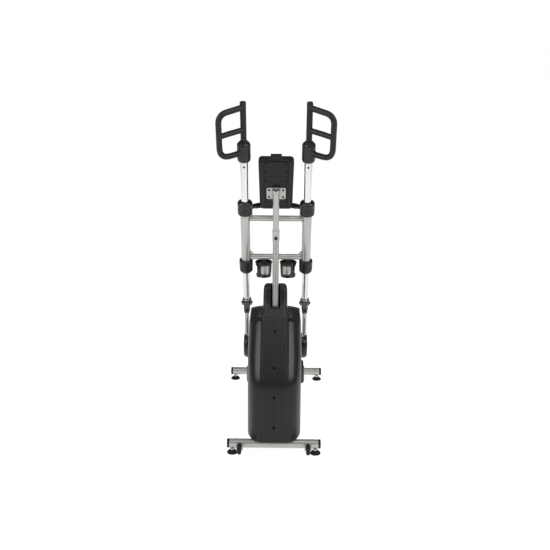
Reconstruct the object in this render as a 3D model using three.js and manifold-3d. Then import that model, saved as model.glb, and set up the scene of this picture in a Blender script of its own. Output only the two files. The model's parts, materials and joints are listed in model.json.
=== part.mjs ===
// A stand-up elliptical climber: two leaning poles with D-shaped grips slide
// in guide tubes and are linked to two pedals, which swing on parallel arms in
// front of a shrouded flywheel. +Z is up, the user faces -Y, and the user's
// left is +X. Inside the machine frame y = 0 is at the poles' lower bolts.

import * as THREE from "three";
import { mergeVertices } from "three/addons/utils/BufferGeometryUtils.js";
import Module from "manifold-3d";

const wasm = await Module();
wasm.setup();

// ---------------------------------------------------------------- dimensions

const radian = Math.PI / 180;

const fitGap = 0.3; // between pieces that touch
const runGap = 0.8; // around a pin, bush or shaft that turns or slides
const clearance = 3; // between pieces that pass each other

// Base
const stanceLength = 1200; // between the two stabilizers
const frontWidth = 545; // front stabilizer with its end caps
const rearWidth = 650;
const stabilizerHeight = 50;
const stabilizerDepth = 50;
const stabilizerWall = 2.5;
const capLength = 14;
const groundClearance = 36.5; // floor to the stabilizers' undersides
const footDiameter = 63;
const footHeight = 22;
const studDiameter = 12;
const footInset = 31; // from a stabilizer's end to its levelling foot
const beamWidth = 60;
const beamHeight = 44;
const beamWall = 2.5;

// Transport wheels
const wheelDiameter = 65;
const wheelWidth = 22;
const wheelSpacing = 395;
const wheelAxleHeight = 53;
const forkWall = 4;
const wheelAxleDiameter = 10;

// Poles and their guides
const poleLean = 20 * radian;
const poleSpacing = 364; // between the two pole axes
const poleDiameter = 44.5;
const poleWall = 2;
const poleBoltHeight = 700; // lower universal-joint bolt above the floor
const poleStart = 80; // chrome tube, measured along the pole from that bolt
const poleLength = 949;
const poleStroke = 130; // each way from mid-stroke
const guideStart = 334;
const guideLength = 401.3;
const guideClearance = 3.75; // between pole and guide, filled by the bushes
const guideWall = 2.5;
const upperCollarWall = 15.5;
const lowerCollarWall = 12;
const collarLength = 86;
const crossDiameter = 35;
const lowerCrossInset = 62; // from the guide's lower end to its cross tube
const upperCrossInset = 72;

// Grips
const housingDiameter = 77;
const housingLength = 134;
const gripDiameter = 34;
const gripLength = 352; // from the housing's base to the grip's top
const loopWidth = 174;
const loopTurn = 34 * radian; // how far the loops face forward
const loopLow = 50; // the three arms of the loop, from the housing's base
const loopMiddle = 188;
const loopHigh = 318;

// Mast and console
const mastDiameter = 38;
const mastWall = 2;
const mastFootSetback = 40; // behind the front stabilizer's axis
const mastJointHeight = 1196;
const mastTopHeight = 1507;
const socketWall = 2.5;
const socketLength = 66;
const handlebarDiameter = 33;
const handlebarBow = 100;
const consoleHeight = 1474; // centre of the console's bracket
const consoleWidth = 204;
const consoleFootWidth = 190;
const consoleLength = 317;
const consoleBelow = 107; // part of that length below the bracket's centre
const consoleBackDepth = 34;
const consoleFaceDepth = 28;
const consoleWall = 3;
const bracketWidth = 110;
const bracketLength = 72;
const plateThickness = 3;
const tabWidth = 62;
const tabHeight = 18;

// Cup holders
const cupDiameter = 106;
const cupHeight = 100;
const cupWall = 3;
const cupSpacing = 150;
const cupSetback = 42; // behind the lower cross tube's axis

// Swinging arms and pedals
const armLength = 468.2;
const armLean = 20 * radian; // equal to the poles' lean, so both move alike
const armEndSetback = 10; // arms' ends behind the poles' lower bolts
const upperPivotHeight = 240;
const lowerPivotHeight = 125;
const armThickness = 22;
const armHeight = 30;
const eyeWidth = 30;
const eyeDiameter = 42;
const axleDiameter = 20;
const sleeveWall = 4.7;
const pinDiameter = 16;
const hangerThickness = 12;
const windowClearance = 4; // around the strut's pin in the hanger's window
const strutDiameter = 28;
const strutSwing = 4.5 * radian;
const kneePinRise = 70; // knee pin above the upper arm's end
const jointPinHeight = 54; // upper universal-joint pin above the lower bolt
const kneeCoverDiameter = 160;
const kneeCoverDepth = 45;
const pedalWidth = 135;
const pedalLength = 364;
const pedalSetback = 66;
const pedalBottom = 172;
const pedalRim = 43; // rim height above the pedal's underside
const toeGuardRise = 110;
const shellWall = 4;

// Drive
const bevelRadius = 25;
const pulleyDiameter = 180;
const pulleyWidth = 16;
const pulleyStart = 66;
const flywheelDiameter = 250;
const flywheelWidth = 25;
const flywheelStart = 38;
const flywheelRise = 320; // flywheel axle above the main axle
const flywheelSetback = 60;
const smallPulleyDiameter = 56;
const flywheelAxleDiameter = 16;
const beltThickness = 3;
const beltWidth = 12;
const drivePlate = 4;
const magnetStudDiameter = 6;

// Shroud
const shroudWall = 3.5;
const shroudBottom = 90;
const shroudShoulder = 819;
const spineBreak = 440; // height where the spine starts to lean back
const spineOverhang = 51; // spine in front of the front stabilizer's axis
const spineLean = 37.5 * radian;
const shroudSideRoom = 14.5; // from the arms to the shroud's widest outside
const shroudRearRoom = 200; // main axle to the rear face
const neckHeight = 114;
const neckWidth = 144;

// ------------------------------------------------------------ derived places

const frontY = -stanceLength / 2;
const rearY = stanceLength / 2;
const poleX = poleSpacing / 2;
const baseHeight = groundClearance + stabilizerHeight / 2;
const beamTop = baseHeight + beamHeight / 2;
const wheelY = frontY - stabilizerDepth / 2 - clearance - wheelDiameter / 2;
const frontMost = wheelY - wheelDiameter / 2;
const rearMost = rearY + footDiameter / 2;

const guideDiameter = poleDiameter + 2 * (guideClearance + guideWall);
const upperCollarDiameter = guideDiameter + 2 * upperCollarWall;
const lowerCollarDiameter = guideDiameter + 2 * lowerCollarWall;
const socketDiameter = mastDiameter + 2 * (fitGap + socketWall);
const sleeveDiameter = axleDiameter + 2 * (runGap + sleeveWall);
const guideEnd = guideStart + guideLength;
const lowerCrossAlong = guideStart + lowerCrossInset;
const upperCrossAlong = guideEnd - upperCrossInset;
const crossOffset = (crossDiameter + mastDiameter) / 2 + fitGap;
const mastJointY = -(mastJointHeight - poleBoltHeight) * Math.tan(poleLean) - crossOffset / Math.cos(poleLean);
const mastFootY = frontY + mastFootSetback;
const mastSlope = (mastJointY - mastFootY) / (mastJointHeight - beamTop);
const upperMastLength = (mastTopHeight - mastJointHeight) / Math.cos(poleLean);

const pivotY = armEndSetback - armLength * Math.cos(armLean);
const hangerX = poleX - 36;
const armX = hangerX - clearance - eyeWidth;
const armEndY = armEndSetback;
const armEndRise = armLength * Math.sin(armLean);
const armSwing = poleStroke / armLength;
const kneeSag = armLength * (1 - Math.cos(armSwing));
const jointPinY = -jointPinHeight * Math.sin(poleLean);
const jointPinZ = poleBoltHeight + jointPinHeight * Math.cos(poleLean);
const kneeZ = upperPivotHeight + armEndRise + kneePinRise;
const strutLength = jointPinZ - kneeZ;
const shroudHalfWidth = armX + eyeWidth + shroudSideRoom;
const shroudRear = pivotY + shroudRearRoom;
const flywheelY = pivotY + flywheelSetback;
const flywheelZ = upperPivotHeight + flywheelRise;

// ------------------------------------------------------------------- helpers

const vector = (x, y, z) => new THREE.Vector3(x, y, z);

// A point on a pole's axis, or midway between them where side is 0.
function pointOnPole(side, along) {
  return vector(side * poleX, -along * Math.sin(poleLean), poleBoltHeight + along * Math.cos(poleLean));
}

function toSolid(geometry) {
  const bare = geometry.clone();
  bare.deleteAttribute("normal");
  bare.deleteAttribute("uv");
  const merged = mergeVertices(bare, 1e-4);
  const vertProperties = new Float32Array(merged.attributes.position.array);
  const triVerts = new Uint32Array(merged.index.array);
  return new wasm.Manifold(new wasm.Mesh({ numProp: 3, vertProperties, triVerts }));
}

function toGeometry(solid) {
  const mesh = solid.getMesh();
  const geometry = new THREE.BufferGeometry();
  geometry.setAttribute("position", new THREE.BufferAttribute(mesh.vertProperties, 3));
  geometry.setIndex(new THREE.BufferAttribute(mesh.triVerts, 1));
  geometry.computeVertexNormals();
  return geometry;
}

function join(...geometries) {
  return toGeometry(geometries.map(toSolid).reduce((sum, next) => sum.add(next)));
}

function cut(geometry, ...tools) {
  return toGeometry(tools.map(toSolid).reduce((left, tool) => left.subtract(tool), toSolid(geometry)));
}

// The same piece for the user's right side, mirrored in x with its faces
// turned back outwards.
function mirrored(geometry) {
  const copy = geometry.index ? geometry.toNonIndexed() : geometry.clone();
  copy.scale(-1, 1, 1);
  const position = copy.attributes.position;
  const second = new THREE.Vector3();
  const third = new THREE.Vector3();
  for (let corner = 0; corner < position.count; corner += 3) {
    second.fromBufferAttribute(position, corner + 1);
    third.fromBufferAttribute(position, corner + 2);
    position.setXYZ(corner + 1, third.x, third.y, third.z);
    position.setXYZ(corner + 2, second.x, second.y, second.z);
  }
  copy.computeVertexNormals();
  return copy;
}

const sided = (geometry, side) => (side > 0 ? geometry : mirrored(geometry));

function block(x0, x1, y0, y1, z0, z1) {
  const box = new THREE.BoxGeometry(x1 - x0, y1 - y0, z1 - z0);
  return box.translate((x0 + x1) / 2, (y0 + y1) / 2, (z0 + z1) / 2);
}

// A geometry built along +Z from the origin, turned to run from one point
// towards another.
function aim(geometry, from, to) {
  const direction = to.clone().sub(from).normalize();
  const turn = new THREE.Quaternion().setFromUnitVectors(vector(0, 0, 1), direction);
  return geometry.applyQuaternion(turn).translate(from.x, from.y, from.z);
}

function rod(from, to, diameter, sides = 12) {
  const length = from.distanceTo(to);
  const cylinder = new THREE.CylinderGeometry(diameter / 2, diameter / 2, length, sides);
  return aim(cylinder.rotateX(Math.PI / 2).translate(0, 0, length / 2), from, to);
}

// A rod to cut with, so that a round piece of this diameter then fits.
function well(from, to, diameter, sides = 16) {
  return rod(from, to, (diameter + 2 * fitGap) / Math.cos(Math.PI / sides), sides);
}

function pipe(from, to, diameter, bore, sides = 16) {
  const shape = new THREE.Shape();
  shape.absarc(0, 0, diameter / 2, 0, 2 * Math.PI);
  shape.holes.push(new THREE.Path().absarc(0, 0, bore / 2, 0, 2 * Math.PI));
  const depth = from.distanceTo(to);
  const tube = new THREE.ExtrudeGeometry(shape, { depth, bevelEnabled: false, curveSegments: sides / 2 });
  return aim(tube, from, to);
}

function bentRod(curve, diameter, steps, sides = 12) {
  const shape = new THREE.Shape();
  shape.absarc(0, 0, diameter / 2, 0, 2 * Math.PI);
  return new THREE.ExtrudeGeometry(shape, { steps, extrudePath: curve, curveSegments: sides / 2 });
}

// The radius of a many-sided bore that a round piece of this diameter fits.
const boreRadius = (diameter, gap, sideCount = 16) => (diameter / 2 + gap) / Math.cos(Math.PI / sideCount);

// A profile of [radius, x] points turned about the X axis.
function turnedAboutX(profile, sides = 16) {
  const lathe = new THREE.LatheGeometry(profile.map(([r, x]) => new THREE.Vector2(r, x)), sides);
  return lathe.rotateZ(-Math.PI / 2);
}

// A profile of [radius, z] points turned about the Z axis.
function turnedAboutZ(profile, sides = 16) {
  const lathe = new THREE.LatheGeometry(profile.map(([r, z]) => new THREE.Vector2(r, z)), sides);
  return lathe.rotateX(Math.PI / 2);
}

function outlineOf(points) {
  return new THREE.Shape(points.map(([a, b]) => new THREE.Vector2(a, b)));
}

function roundedOutline(width, height, radius) {
  const x = width / 2 - radius;
  const y = height / 2 - radius;
  const shape = new THREE.Shape();
  shape.absarc(x, y, radius, 0, Math.PI / 2);
  shape.absarc(-x, y, radius, Math.PI / 2, Math.PI);
  shape.absarc(-x, -y, radius, Math.PI, 1.5 * Math.PI);
  shape.absarc(x, -y, radius, 1.5 * Math.PI, 2 * Math.PI);
  return shape;
}

// An outline in (y, z) made a plate from x0 to x1.
function sidePlate(shape, x0, x1, curveSegments = 2) {
  const plate = new THREE.ExtrudeGeometry(shape, { depth: x1 - x0, bevelEnabled: false, curveSegments });
  const turn = new THREE.Matrix4().makeBasis(vector(0, 1, 0), vector(0, 0, 1), vector(1, 0, 0));
  return plate.applyMatrix4(turn).translate(x0, 0, 0);
}

// An outline in (x, z) made a plate from y0 to y1.
function facePlate(shape, y0, y1, curveSegments = 2) {
  const plate = new THREE.ExtrudeGeometry(shape, { depth: y1 - y0, bevelEnabled: false, curveSegments });
  return plate.rotateX(Math.PI / 2).translate(0, y1, 0);
}

// An outline in (x, y) made a plate from z0 to z1.
function flatPlate(shape, z0, z1, curveSegments = 2) {
  const plate = new THREE.ExtrudeGeometry(shape, { depth: z1 - z0, bevelEnabled: false, curveSegments });
  return plate.translate(0, 0, z0);
}

// A closed skin over level rings of [x, y, z] points, each ring
// anticlockwise from above and the lowest first.
function loft(rings) {
  const count = rings[0].length;
  const index = [];
  for (let level = 0; level + 1 < rings.length; level += 1) {
    for (let corner = 0; corner < count; corner += 1) {
      const a = level * count + corner;
      const b = level * count + (corner + 1) % count;
      index.push(a, b, b + count, a, b + count, a + count);
    }
  }
  const capOf = (ring) => {
    const contour = ring.map(([x, y]) => new THREE.Vector2(x, y));
    return THREE.ShapeUtils.triangulateShape(contour, []);
  };
  const top = (rings.length - 1) * count;
  capOf(rings[0]).forEach(([a, b, c]) => index.push(c, b, a));
  capOf(rings[rings.length - 1]).forEach(([a, b, c]) => index.push(top + a, top + b, top + c));
  const geometry = new THREE.BufferGeometry();
  geometry.setAttribute("position", new THREE.Float32BufferAttribute(rings.flat(2), 3));
  geometry.setIndex(index);
  return geometry;
}

// ------------------------------------------------------------------ finishes

const finish = (color, roughness, metalness) =>
  new THREE.MeshStandardMaterial({ color, roughness, metalness });

const paint = finish(0xa9a8a4, 0.42, 0.35);
const chrome = finish(0xd8dadc, 0.12, 1);
const blackPlastic = finish(0x222324, 0.55, 0);
const shroudPlastic = finish(0x35373a, 0.45, 0);
const rubber = finish(0x1b1b1c, 0.85, 0);
const zinc = finish(0xb4bcc6, 0.35, 0.9);
const darkSteel = finish(0x4a4c50, 0.5, 0.8);

const machine = new THREE.Group();
machine.position.y = -(frontMost + rearMost) / 2;

const sides = [["left", 1], ["right", -1]];

function add(parent, name, geometry, material) {
  const mesh = new THREE.Mesh(geometry, material);
  mesh.name = name;
  parent.add(mesh);
  return mesh;
}

// ---------------------------------------------------------------------- base

function stabilizerTube(width) {
  const corner = stabilizerHeight / 2 - 1;
  const outer = sidePlate(roundedOutline(stabilizerDepth, stabilizerHeight, corner), -width / 2, width / 2);
  const wall = 2 * stabilizerWall;
  const boreShape = roundedOutline(stabilizerDepth - wall, stabilizerHeight - wall, corner - stabilizerWall);
  return cut(outer, sidePlate(boreShape, -width / 2 - 1, width / 2 + 1));
}

// Cap over a tube end: a rounded plug with a flange of the tube's size.
function stabilizerCap() {
  const corner = stabilizerHeight / 2 - 1;
  const face = sidePlate(roundedOutline(stabilizerDepth, stabilizerHeight, corner), fitGap, capLength - 7);
  const nose = roundedOutline(stabilizerDepth - 10, stabilizerHeight - 10, corner - 5);
  const inset = 2 * (stabilizerWall + fitGap);
  const plug = roundedOutline(
    stabilizerDepth - inset,
    stabilizerHeight - inset,
    corner - stabilizerWall - fitGap,
  );
  return join(face, sidePlate(nose, capLength - 8, capLength), sidePlate(plug, -18, fitGap + 1));
}

function levellingFoot() {
  const pad = footDiameter / 2;
  const stud = studDiameter / 2;
  const top = groundClearance - fitGap;
  return turnedAboutZ([
    [0, 0],
    [pad, 0],
    [pad, 8],
    [pad - 14, footHeight],
    [stud + 4, footHeight + 8],
    [stud, top],
    [0, top],
  ]);
}

function addStabilizer(end, y, width) {
  const group = new THREE.Group();
  group.position.set(0, y, baseHeight);
  machine.add(group);
  add(group, `${end}_stabilizer`, stabilizerTube(width - 2 * capLength), paint);
  for (const [sideName, side] of sides) {
    const cap = add(group, `${end}_end_cap_${sideName}`, sided(stabilizerCap(), side), blackPlastic);
    cap.position.x = side * (width / 2 - capLength);
    const foot = add(group, `${end}_leveller_${sideName}`, levellingFoot(), rubber);
    foot.position.set(side * (width / 2 - footInset), 0, -baseHeight);
  }
}

function mainBeam() {
  const end = stabilizerDepth / 2 + fitGap;
  const half = [beamWidth / 2, beamHeight / 2];
  const outer = block(-half[0], half[0], frontY + end, rearY - end, -half[1], half[1]);
  const bore = [half[0] - beamWall, half[1] - beamWall];
  return cut(outer, block(-bore[0], bore[0], frontY, rearY, -bore[1], bore[1]));
}

addStabilizer("front", frontY, frontWidth);
addStabilizer("rear", rearY, rearWidth);
add(machine, "main_beam", mainBeam(), paint).position.z = baseHeight;

// -------------------------------------------------------- transport wheels

function transportWheel() {
  const r = wheelDiameter / 2;
  const half = wheelWidth / 2;
  const axle = boreRadius(wheelAxleDiameter, runGap);
  return turnedAboutX([
    [axle, -half],
    [r - 4, -half],
    [r, -half + 4],
    [r, half - 4],
    [r - 4, half],
    [axle, half],
    [axle, -half],
  ]);
}

// Two ears and their axle, standing forward from the stabilizer.
function wheelFork() {
  const inner = wheelWidth / 2 + 1.5;
  const back = -wheelY + frontY - stabilizerDepth / 2 - fitGap;
  const ear = outlineOf([[back, -15], [back, 15], [2, 13], [-10, 9], [-13, 0], [-10, -9], [2, -13]]);
  const axle = rod(vector(-inner - forkWall, 0, 0), vector(inner + forkWall, 0, 0), wheelAxleDiameter);
  const web = block(-inner - 1, inner + 1, back - 2, back, -15, 15);
  const ears = [-1, 1].map((side) => {
    const edges = [side * inner, side * (inner + forkWall)].sort((a, b) => a - b);
    return sidePlate(ear, edges[0], edges[1]);
  });
  return join(axle, web, ...ears);
}

for (const [sideName, side] of sides) {
  const group = new THREE.Group();
  group.position.set((side * wheelSpacing) / 2, wheelY, wheelAxleHeight);
  machine.add(group);
  add(group, `transport_wheel_${sideName}`, transportWheel(), rubber);
  add(group, `wheel_fork_${sideName}`, wheelFork(), blackPlastic);
}

// ---------------------------------------------------------------------- mast

// The mast's two straight runs: up from the beam, then along the poles' lean.
const mastFoot = vector(0, mastFootY, beamTop + fitGap);
const mastBend = vector(0, mastJointY, mastJointHeight);
const leanDirection = vector(0, -Math.sin(poleLean), Math.cos(poleLean));
const alongLean = (length) => mastBend.clone().addScaledVector(leanDirection, length);

// The lower run carries a socket for the upper one and a short stay that
// reaches back to the lower cross tube.
function lowerMast() {
  const down = mastBend.clone().sub(mastFoot).normalize();
  const cross = pointOnPole(0, lowerCrossAlong);
  const stayY = mastJointY - (mastJointHeight - cross.z) * mastSlope;
  const crossWell = well(
    pointOnPole(-1, lowerCrossAlong),
    pointOnPole(1, lowerCrossAlong),
    crossDiameter,
  );
  const stay = cut(rod(vector(0, stayY, cross.z), cross, 25), crossWell);
  const outer = join(
    rod(mastFoot, mastBend, mastDiameter),
    rod(alongLean(-8), alongLean(socketLength), socketDiameter),
    stay,
  );
  const flat = block(-60, 60, mastFootY - 60, mastFootY + 60, mastFoot.z - 30, mastFoot.z);
  const boreEnd = mastBend.clone().addScaledVector(down, -6);
  const bore = rod(mastFoot.clone().addScaledVector(down, -20), boreEnd, mastDiameter - 2 * mastWall);
  const socket = well(alongLean(4), alongLean(socketLength + 5), mastDiameter);
  return cut(outer, bore, socket, flat);
}

function upperMast() {
  return pipe(alongLean(6), alongLean(upperMastLength), mastDiameter, mastDiameter - 2 * mastWall);
}

// Plate welded along the mast's rear, which the console bolts to.
function consoleBracket() {
  const front = mastDiameter / 2 + fitGap;
  const plate = facePlate(roundedOutline(bracketWidth, bracketLength, 10), front, front + plateThickness);
  const boltHoles = [-1, 1].flatMap((x) => [-1, 1].map((z) => {
    const place = [x * (bracketWidth / 2 - 14), z * (bracketLength / 2 - 14)];
    return rod(vector(place[0], 0, place[1]), vector(place[0], 60, place[1]), 7, 10);
  }));
  return cut(plate, ...boltHoles);
}

add(machine, "lower_mast", lowerMast(), paint);
add(machine, "upper_mast", upperMast(), paint);

// ---------------------------------------------------- guides and cross tubes

// One group per pole, standing on the pole's lower bolt and leaning with it.
const leanGroups = sides.map(([, side]) => {
  const group = new THREE.Group();
  group.position.set(side * poleX, 0, poleBoltHeight);
  group.rotation.x = poleLean;
  machine.add(group);
  return group;
});

function guideTube() {
  const bore = guideDiameter - 2 * guideWall;
  return pipe(vector(0, 0, guideStart), vector(0, 0, guideEnd), guideDiameter, bore);
}

// Bush on a guide's end: half of it grips the guide, half of it the pole.
function collar(diameter, towardsGuide) {
  const half = collarLength / 2;
  const outside = diameter / 2;
  const slide = boreRadius(poleDiameter, runGap);
  const grip = boreRadius(guideDiameter, fitGap);
  const profile = [
    [grip, -half],
    [outside - 5, -half],
    [outside, -half + 6],
    [outside, half - 7],
    [outside - 7, half],
    [slide, half],
    [slide, fitGap],
    [grip, fitGap],
    [grip, -half],
  ];
  const bush = turnedAboutZ(profile);
  return towardsGuide > 0 ? bush.rotateX(Math.PI) : bush;
}

// A tube between the two guides, its ends shaped to fit them.
function crossTube(along) {
  const inner = pipe(pointOnPole(-1, along), pointOnPole(1, along), crossDiameter, crossDiameter - 5);
  const guideWells = [-1, 1].map((side) => well(
    pointOnPole(side, along - 60),
    pointOnPole(side, along + 60),
    guideDiameter,
  ));
  return cut(inner, ...guideWells);
}

add(machine, "lower_cross_tube", crossTube(lowerCrossAlong), paint);
add(machine, "upper_cross_tube", crossTube(upperCrossAlong), paint);

sides.forEach(([sideName], number) => {
  const group = leanGroups[number];
  add(group, `guide_tube_${sideName}`, guideTube(), paint);
  const upper = collar(upperCollarDiameter, -1);
  add(group, `upper_collar_${sideName}`, upper, blackPlastic).position.z = guideEnd;
  const lower = collar(lowerCollarDiameter, 1);
  add(group, `lower_collar_${sideName}`, lower, blackPlastic).position.z = guideStart;
});

// Fixed handlebar from collar to collar, bowed towards the user.
function fixedHandlebar() {
  const end = pointOnPole(1, guideEnd);
  const reach = (share, bow) => vector(share * poleX, end.y + bow * handlebarBow, end.z);
  const curve = new THREE.CatmullRomCurve3([
    reach(-1, 0),
    reach(-0.8, 0.3),
    reach(-0.5, 0.85),
    reach(0, 1),
    reach(0.5, 0.85),
    reach(0.8, 0.3),
    reach(1, 0),
  ]);
  const collarWells = [-1, 1].map((side) => well(
    pointOnPole(side, guideEnd - collarLength),
    pointOnPole(side, guideEnd + collarLength),
    upperCollarDiameter,
  ));
  return cut(bentRod(curve, handlebarDiameter, 18, 10), ...collarWells);
}

add(machine, "fixed_handlebar", fixedHandlebar(), blackPlastic);

// ------------------------------------------------------------------- console

const consoleGroup = new THREE.Group();
const consoleAlong = (consoleHeight - mastJointHeight) / Math.cos(poleLean);
consoleGroup.position.copy(alongLean(consoleAlong));
consoleGroup.rotation.x = poleLean;
machine.add(consoleGroup);

const consoleFront = mastDiameter / 2 + 2 * fitGap + plateThickness;
const consoleMiddle = consoleFront + consoleBackDepth;

// The console's outline, wider at the top, drawn with its edges set in.
function consoleOutline(inset) {
  const top = consoleLength - consoleBelow - inset;
  const bottom = inset - consoleBelow;
  const wide = consoleWidth / 2 - inset;
  const narrow = consoleFootWidth / 2 - inset;
  const corner = 20 - inset;
  const shape = new THREE.Shape();
  shape.absarc(wide - corner, top - corner, corner, 0, Math.PI / 2);
  shape.absarc(-wide + corner, top - corner, corner, Math.PI / 2, Math.PI);
  shape.absarc(-narrow + corner, bottom + corner, corner, Math.PI, 1.5 * Math.PI);
  shape.absarc(narrow - corner, bottom + corner, corner, 1.5 * Math.PI, 2 * Math.PI);
  return shape;
}

function consoleBack() {
  const edge = 12;
  const front = facePlate(consoleOutline(edge), consoleFront, consoleFront + edge);
  const rear = facePlate(consoleOutline(0), consoleFront + edge - 1, consoleMiddle);
  const tab = block(
    -tabWidth / 2,
    tabWidth / 2,
    consoleFront + edge,
    consoleMiddle - 2,
    consoleLength - consoleBelow - 2,
    consoleLength - consoleBelow + tabHeight,
  );
  const hollow = facePlate(
    consoleOutline(edge + consoleWall),
    consoleFront + consoleWall,
    consoleMiddle + 1,
  );
  return cut(join(front, rear, tab), hollow);
}

function consoleFace() {
  const start = consoleMiddle + fitGap;
  const end = start + consoleFaceDepth;
  const rim = facePlate(consoleOutline(0), start, end - 8);
  const face = facePlate(consoleOutline(8), end - 9, end);
  const hollow = facePlate(consoleOutline(8 + consoleWall), start - 1, end - consoleWall);
  const screenWell = block(-72, 72, end - 2, end + 1, 70, 180);
  return cut(join(rim, face), hollow, screenWell);
}

add(consoleGroup, "console_bracket", consoleBracket(), paint);
add(consoleGroup, "console_back", consoleBack(), blackPlastic);
add(consoleGroup, "console_face", consoleFace(), blackPlastic);

// --------------------------------------------------------------- cup holders

// A cup with a rim ring, a window in front and a tab up to the cross tube.
function cupHolder() {
  const cross = pointOnPole(0, lowerCrossAlong);
  const r = cupDiameter / 2;
  const top = cross.z - crossDiameter / 2 - 18;
  const wall = turnedAboutZ([
    [0, top - cupHeight],
    [r - 10, top - cupHeight],
    [r - 5, top - cupHeight + 6],
    [r - 5, top - 12],
    [r, top - 12],
    [r, top],
    [r - 4 - cupWall, top],
    [r - 5 - cupWall, top - cupHeight + cupWall + 4],
    [0, top - cupHeight + cupWall + 4],
  ]);
  const tab = block(-16, 16, -cupSetback - 5, -cupSetback + 4, top - 14, top + 18 - fitGap);
  const tongue = block(-16, 16, -r - 2, -r + 6, top - 14, top - 2);
  const windows = [-1, 1].map((side) => {
    const direction = vector(side, -0.35, 0).normalize().multiplyScalar(r + 20);
    const middle = top - 46;
    return rod(vector(0, 0, middle), vector(direction.x, direction.y, middle), 44, 12);
  });
  const body = cut(join(wall, tongue), ...windows);
  return join(body, tab);
}

for (const [sideName, side] of sides) {
  const cup = add(machine, `cup_holder_${sideName}`, cupHolder(), blackPlastic);
  cup.position.set((side * cupSpacing) / 2, pointOnPole(0, lowerCrossAlong).y + cupSetback, 0);
}

// --------------------------------------------------------------------- poles

// Chrome tube with a fork at its lower end for the universal joint.
function pole() {
  const bore = poleDiameter - 2 * poleWall;
  const tube = pipe(vector(0, 0, poleStart), vector(0, 0, poleStart + poleLength), poleDiameter, bore);
  const cheekInner = strutDiameter / 2 + 6 + runGap;
  const cheekOuter = cheekInner + 9;
  const bridge = rod(vector(0, 0, poleStart - 6), vector(0, 0, poleStart + 12), poleDiameter - 1, 16);
  const shoulder = block(-cheekOuter, cheekOuter, -16, 16, poleStart - 6, poleStart);
  const cheek = outlineOf([[-16, poleStart - 1], [-16, jointPinHeight], [-9, jointPinHeight - 14],
    [9, jointPinHeight - 14], [16, jointPinHeight], [16, poleStart - 1]]);
  const head = cheekOuter + 7;
  const pin = rod(vector(-head, 0, jointPinHeight), vector(head, 0, jointPinHeight), 12, 12);
  const cheeks = [[-cheekOuter, -cheekInner], [cheekInner, cheekOuter]].map(([a, b]) => sidePlate(cheek, a, b));
  return join(tube, bridge, shoulder, pin, ...cheeks);
}

const housingStart = poleStart + poleLength + fitGap;

function gripHousing() {
  const r = housingDiameter / 2;
  const end = housingStart + housingLength;
  const grip = boreRadius(gripDiameter, fitGap);
  return turnedAboutZ([
    [grip, housingStart],
    [r - 7, housingStart],
    [r - 1, housingStart + 8],
    [r, housingStart + 24],
    [r, end - 34],
    [r - 5, end - 14],
    [r - 17, end - 2],
    [grip + 3, end],
    [grip, end],
    [grip, housingStart],
  ]);
}

// The grip bar through the housing, with a loop of three arms that faces
// outwards and forwards.
function gripLoop() {
  const base = housingStart;
  const low = base + loopLow;
  const middle = base + loopMiddle;
  const high = base + loopHigh;
  const reach = loopWidth - gripDiameter / 2;
  const start = gripDiameter / 2;
  const corner = 52;
  const lowCorner = 74;
  const path = new THREE.CurvePath();
  const at = (x, z) => vector(x, 0, z);
  path.add(new THREE.LineCurve3(at(start, low), at(reach - lowCorner, low)));
  path.add(new THREE.QuadraticBezierCurve3(at(reach - lowCorner, low), at(reach, low), at(reach, low + lowCorner)));
  path.add(new THREE.LineCurve3(at(reach, low + lowCorner), at(reach, high - corner)));
  path.add(new THREE.QuadraticBezierCurve3(at(reach, high - corner), at(reach, high), at(reach - corner, high)));
  path.add(new THREE.LineCurve3(at(reach - corner, high), at(4, high)));
  const loop = bentRod(path, gripDiameter, 26, 10);
  const arm = rod(at(4, middle), at(reach, middle), gripDiameter - 2, 10);
  const housingWell = well(vector(0, 0, base - 5), vector(0, 0, base + housingLength + 5), housingDiameter);
  const bar = rod(vector(0, 0, base + 6), vector(0, 0, base + gripLength), gripDiameter);
  const spigot = rod(at(start - 2, low), at(housingDiameter / 2 + 4, low), gripDiameter - 6, 12);
  return { bar, loop: join(cut(join(loop, arm), housingWell), cut(spigot, housingWell)) };
}

function gripWithLoop(side) {
  const { bar, loop } = gripLoop();
  const turned = loop.rotateZ(-loopTurn);
  const solid = join(bar, turned);
  return sided(solid, side);
}

sides.forEach(([sideName, side], number) => {
  const group = leanGroups[number];
  add(group, `pole_${sideName}`, pole(), chrome);
  add(group, `grip_housing_${sideName}`, gripHousing(), blackPlastic);
  add(group, `grip_loop_${sideName}`, gripWithLoop(side), blackPlastic);
});

// -------------------------------------------------------------------- struts

// Hangs from the pole's joint pin; its lower pin reaches inwards.
function strut() {
  const half = strutDiameter / 2 + 6;
  const eye = rod(vector(-half, 0, 0), vector(half, 0, 0), 30);
  const head = block(-half, half, -14, 14, -68, 0);
  const bolt = rod(vector(0, -20, -50), vector(0, 20, -50), 16, 12);
  const shank = rod(vector(0, 0, -60), vector(0, 0, -strutLength), strutDiameter);
  const knee = rod(vector(-14, 0, -strutLength), vector(14, 0, -strutLength), 44);
  const pinEnd = hangerX - poleX - 2;
  const pin = rod(vector(pinEnd, 0, -strutLength), vector(0, 0, -strutLength), pinDiameter, 12);
  const bore = rod(vector(-half - 1, 0, 0), vector(half + 1, 0, 0), 12 + 2 * runGap, 12);
  return cut(join(eye, head, bolt, shank, knee, pin), bore);
}

for (const [sideName, side] of sides) {
  const piece = add(machine, `strut_${sideName}`, sided(strut(), side), paint);
  piece.position.set(side * poleX, jointPinY, jointPinZ);
}

// --------------------------------------------------- arms, hangers and pedals

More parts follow.
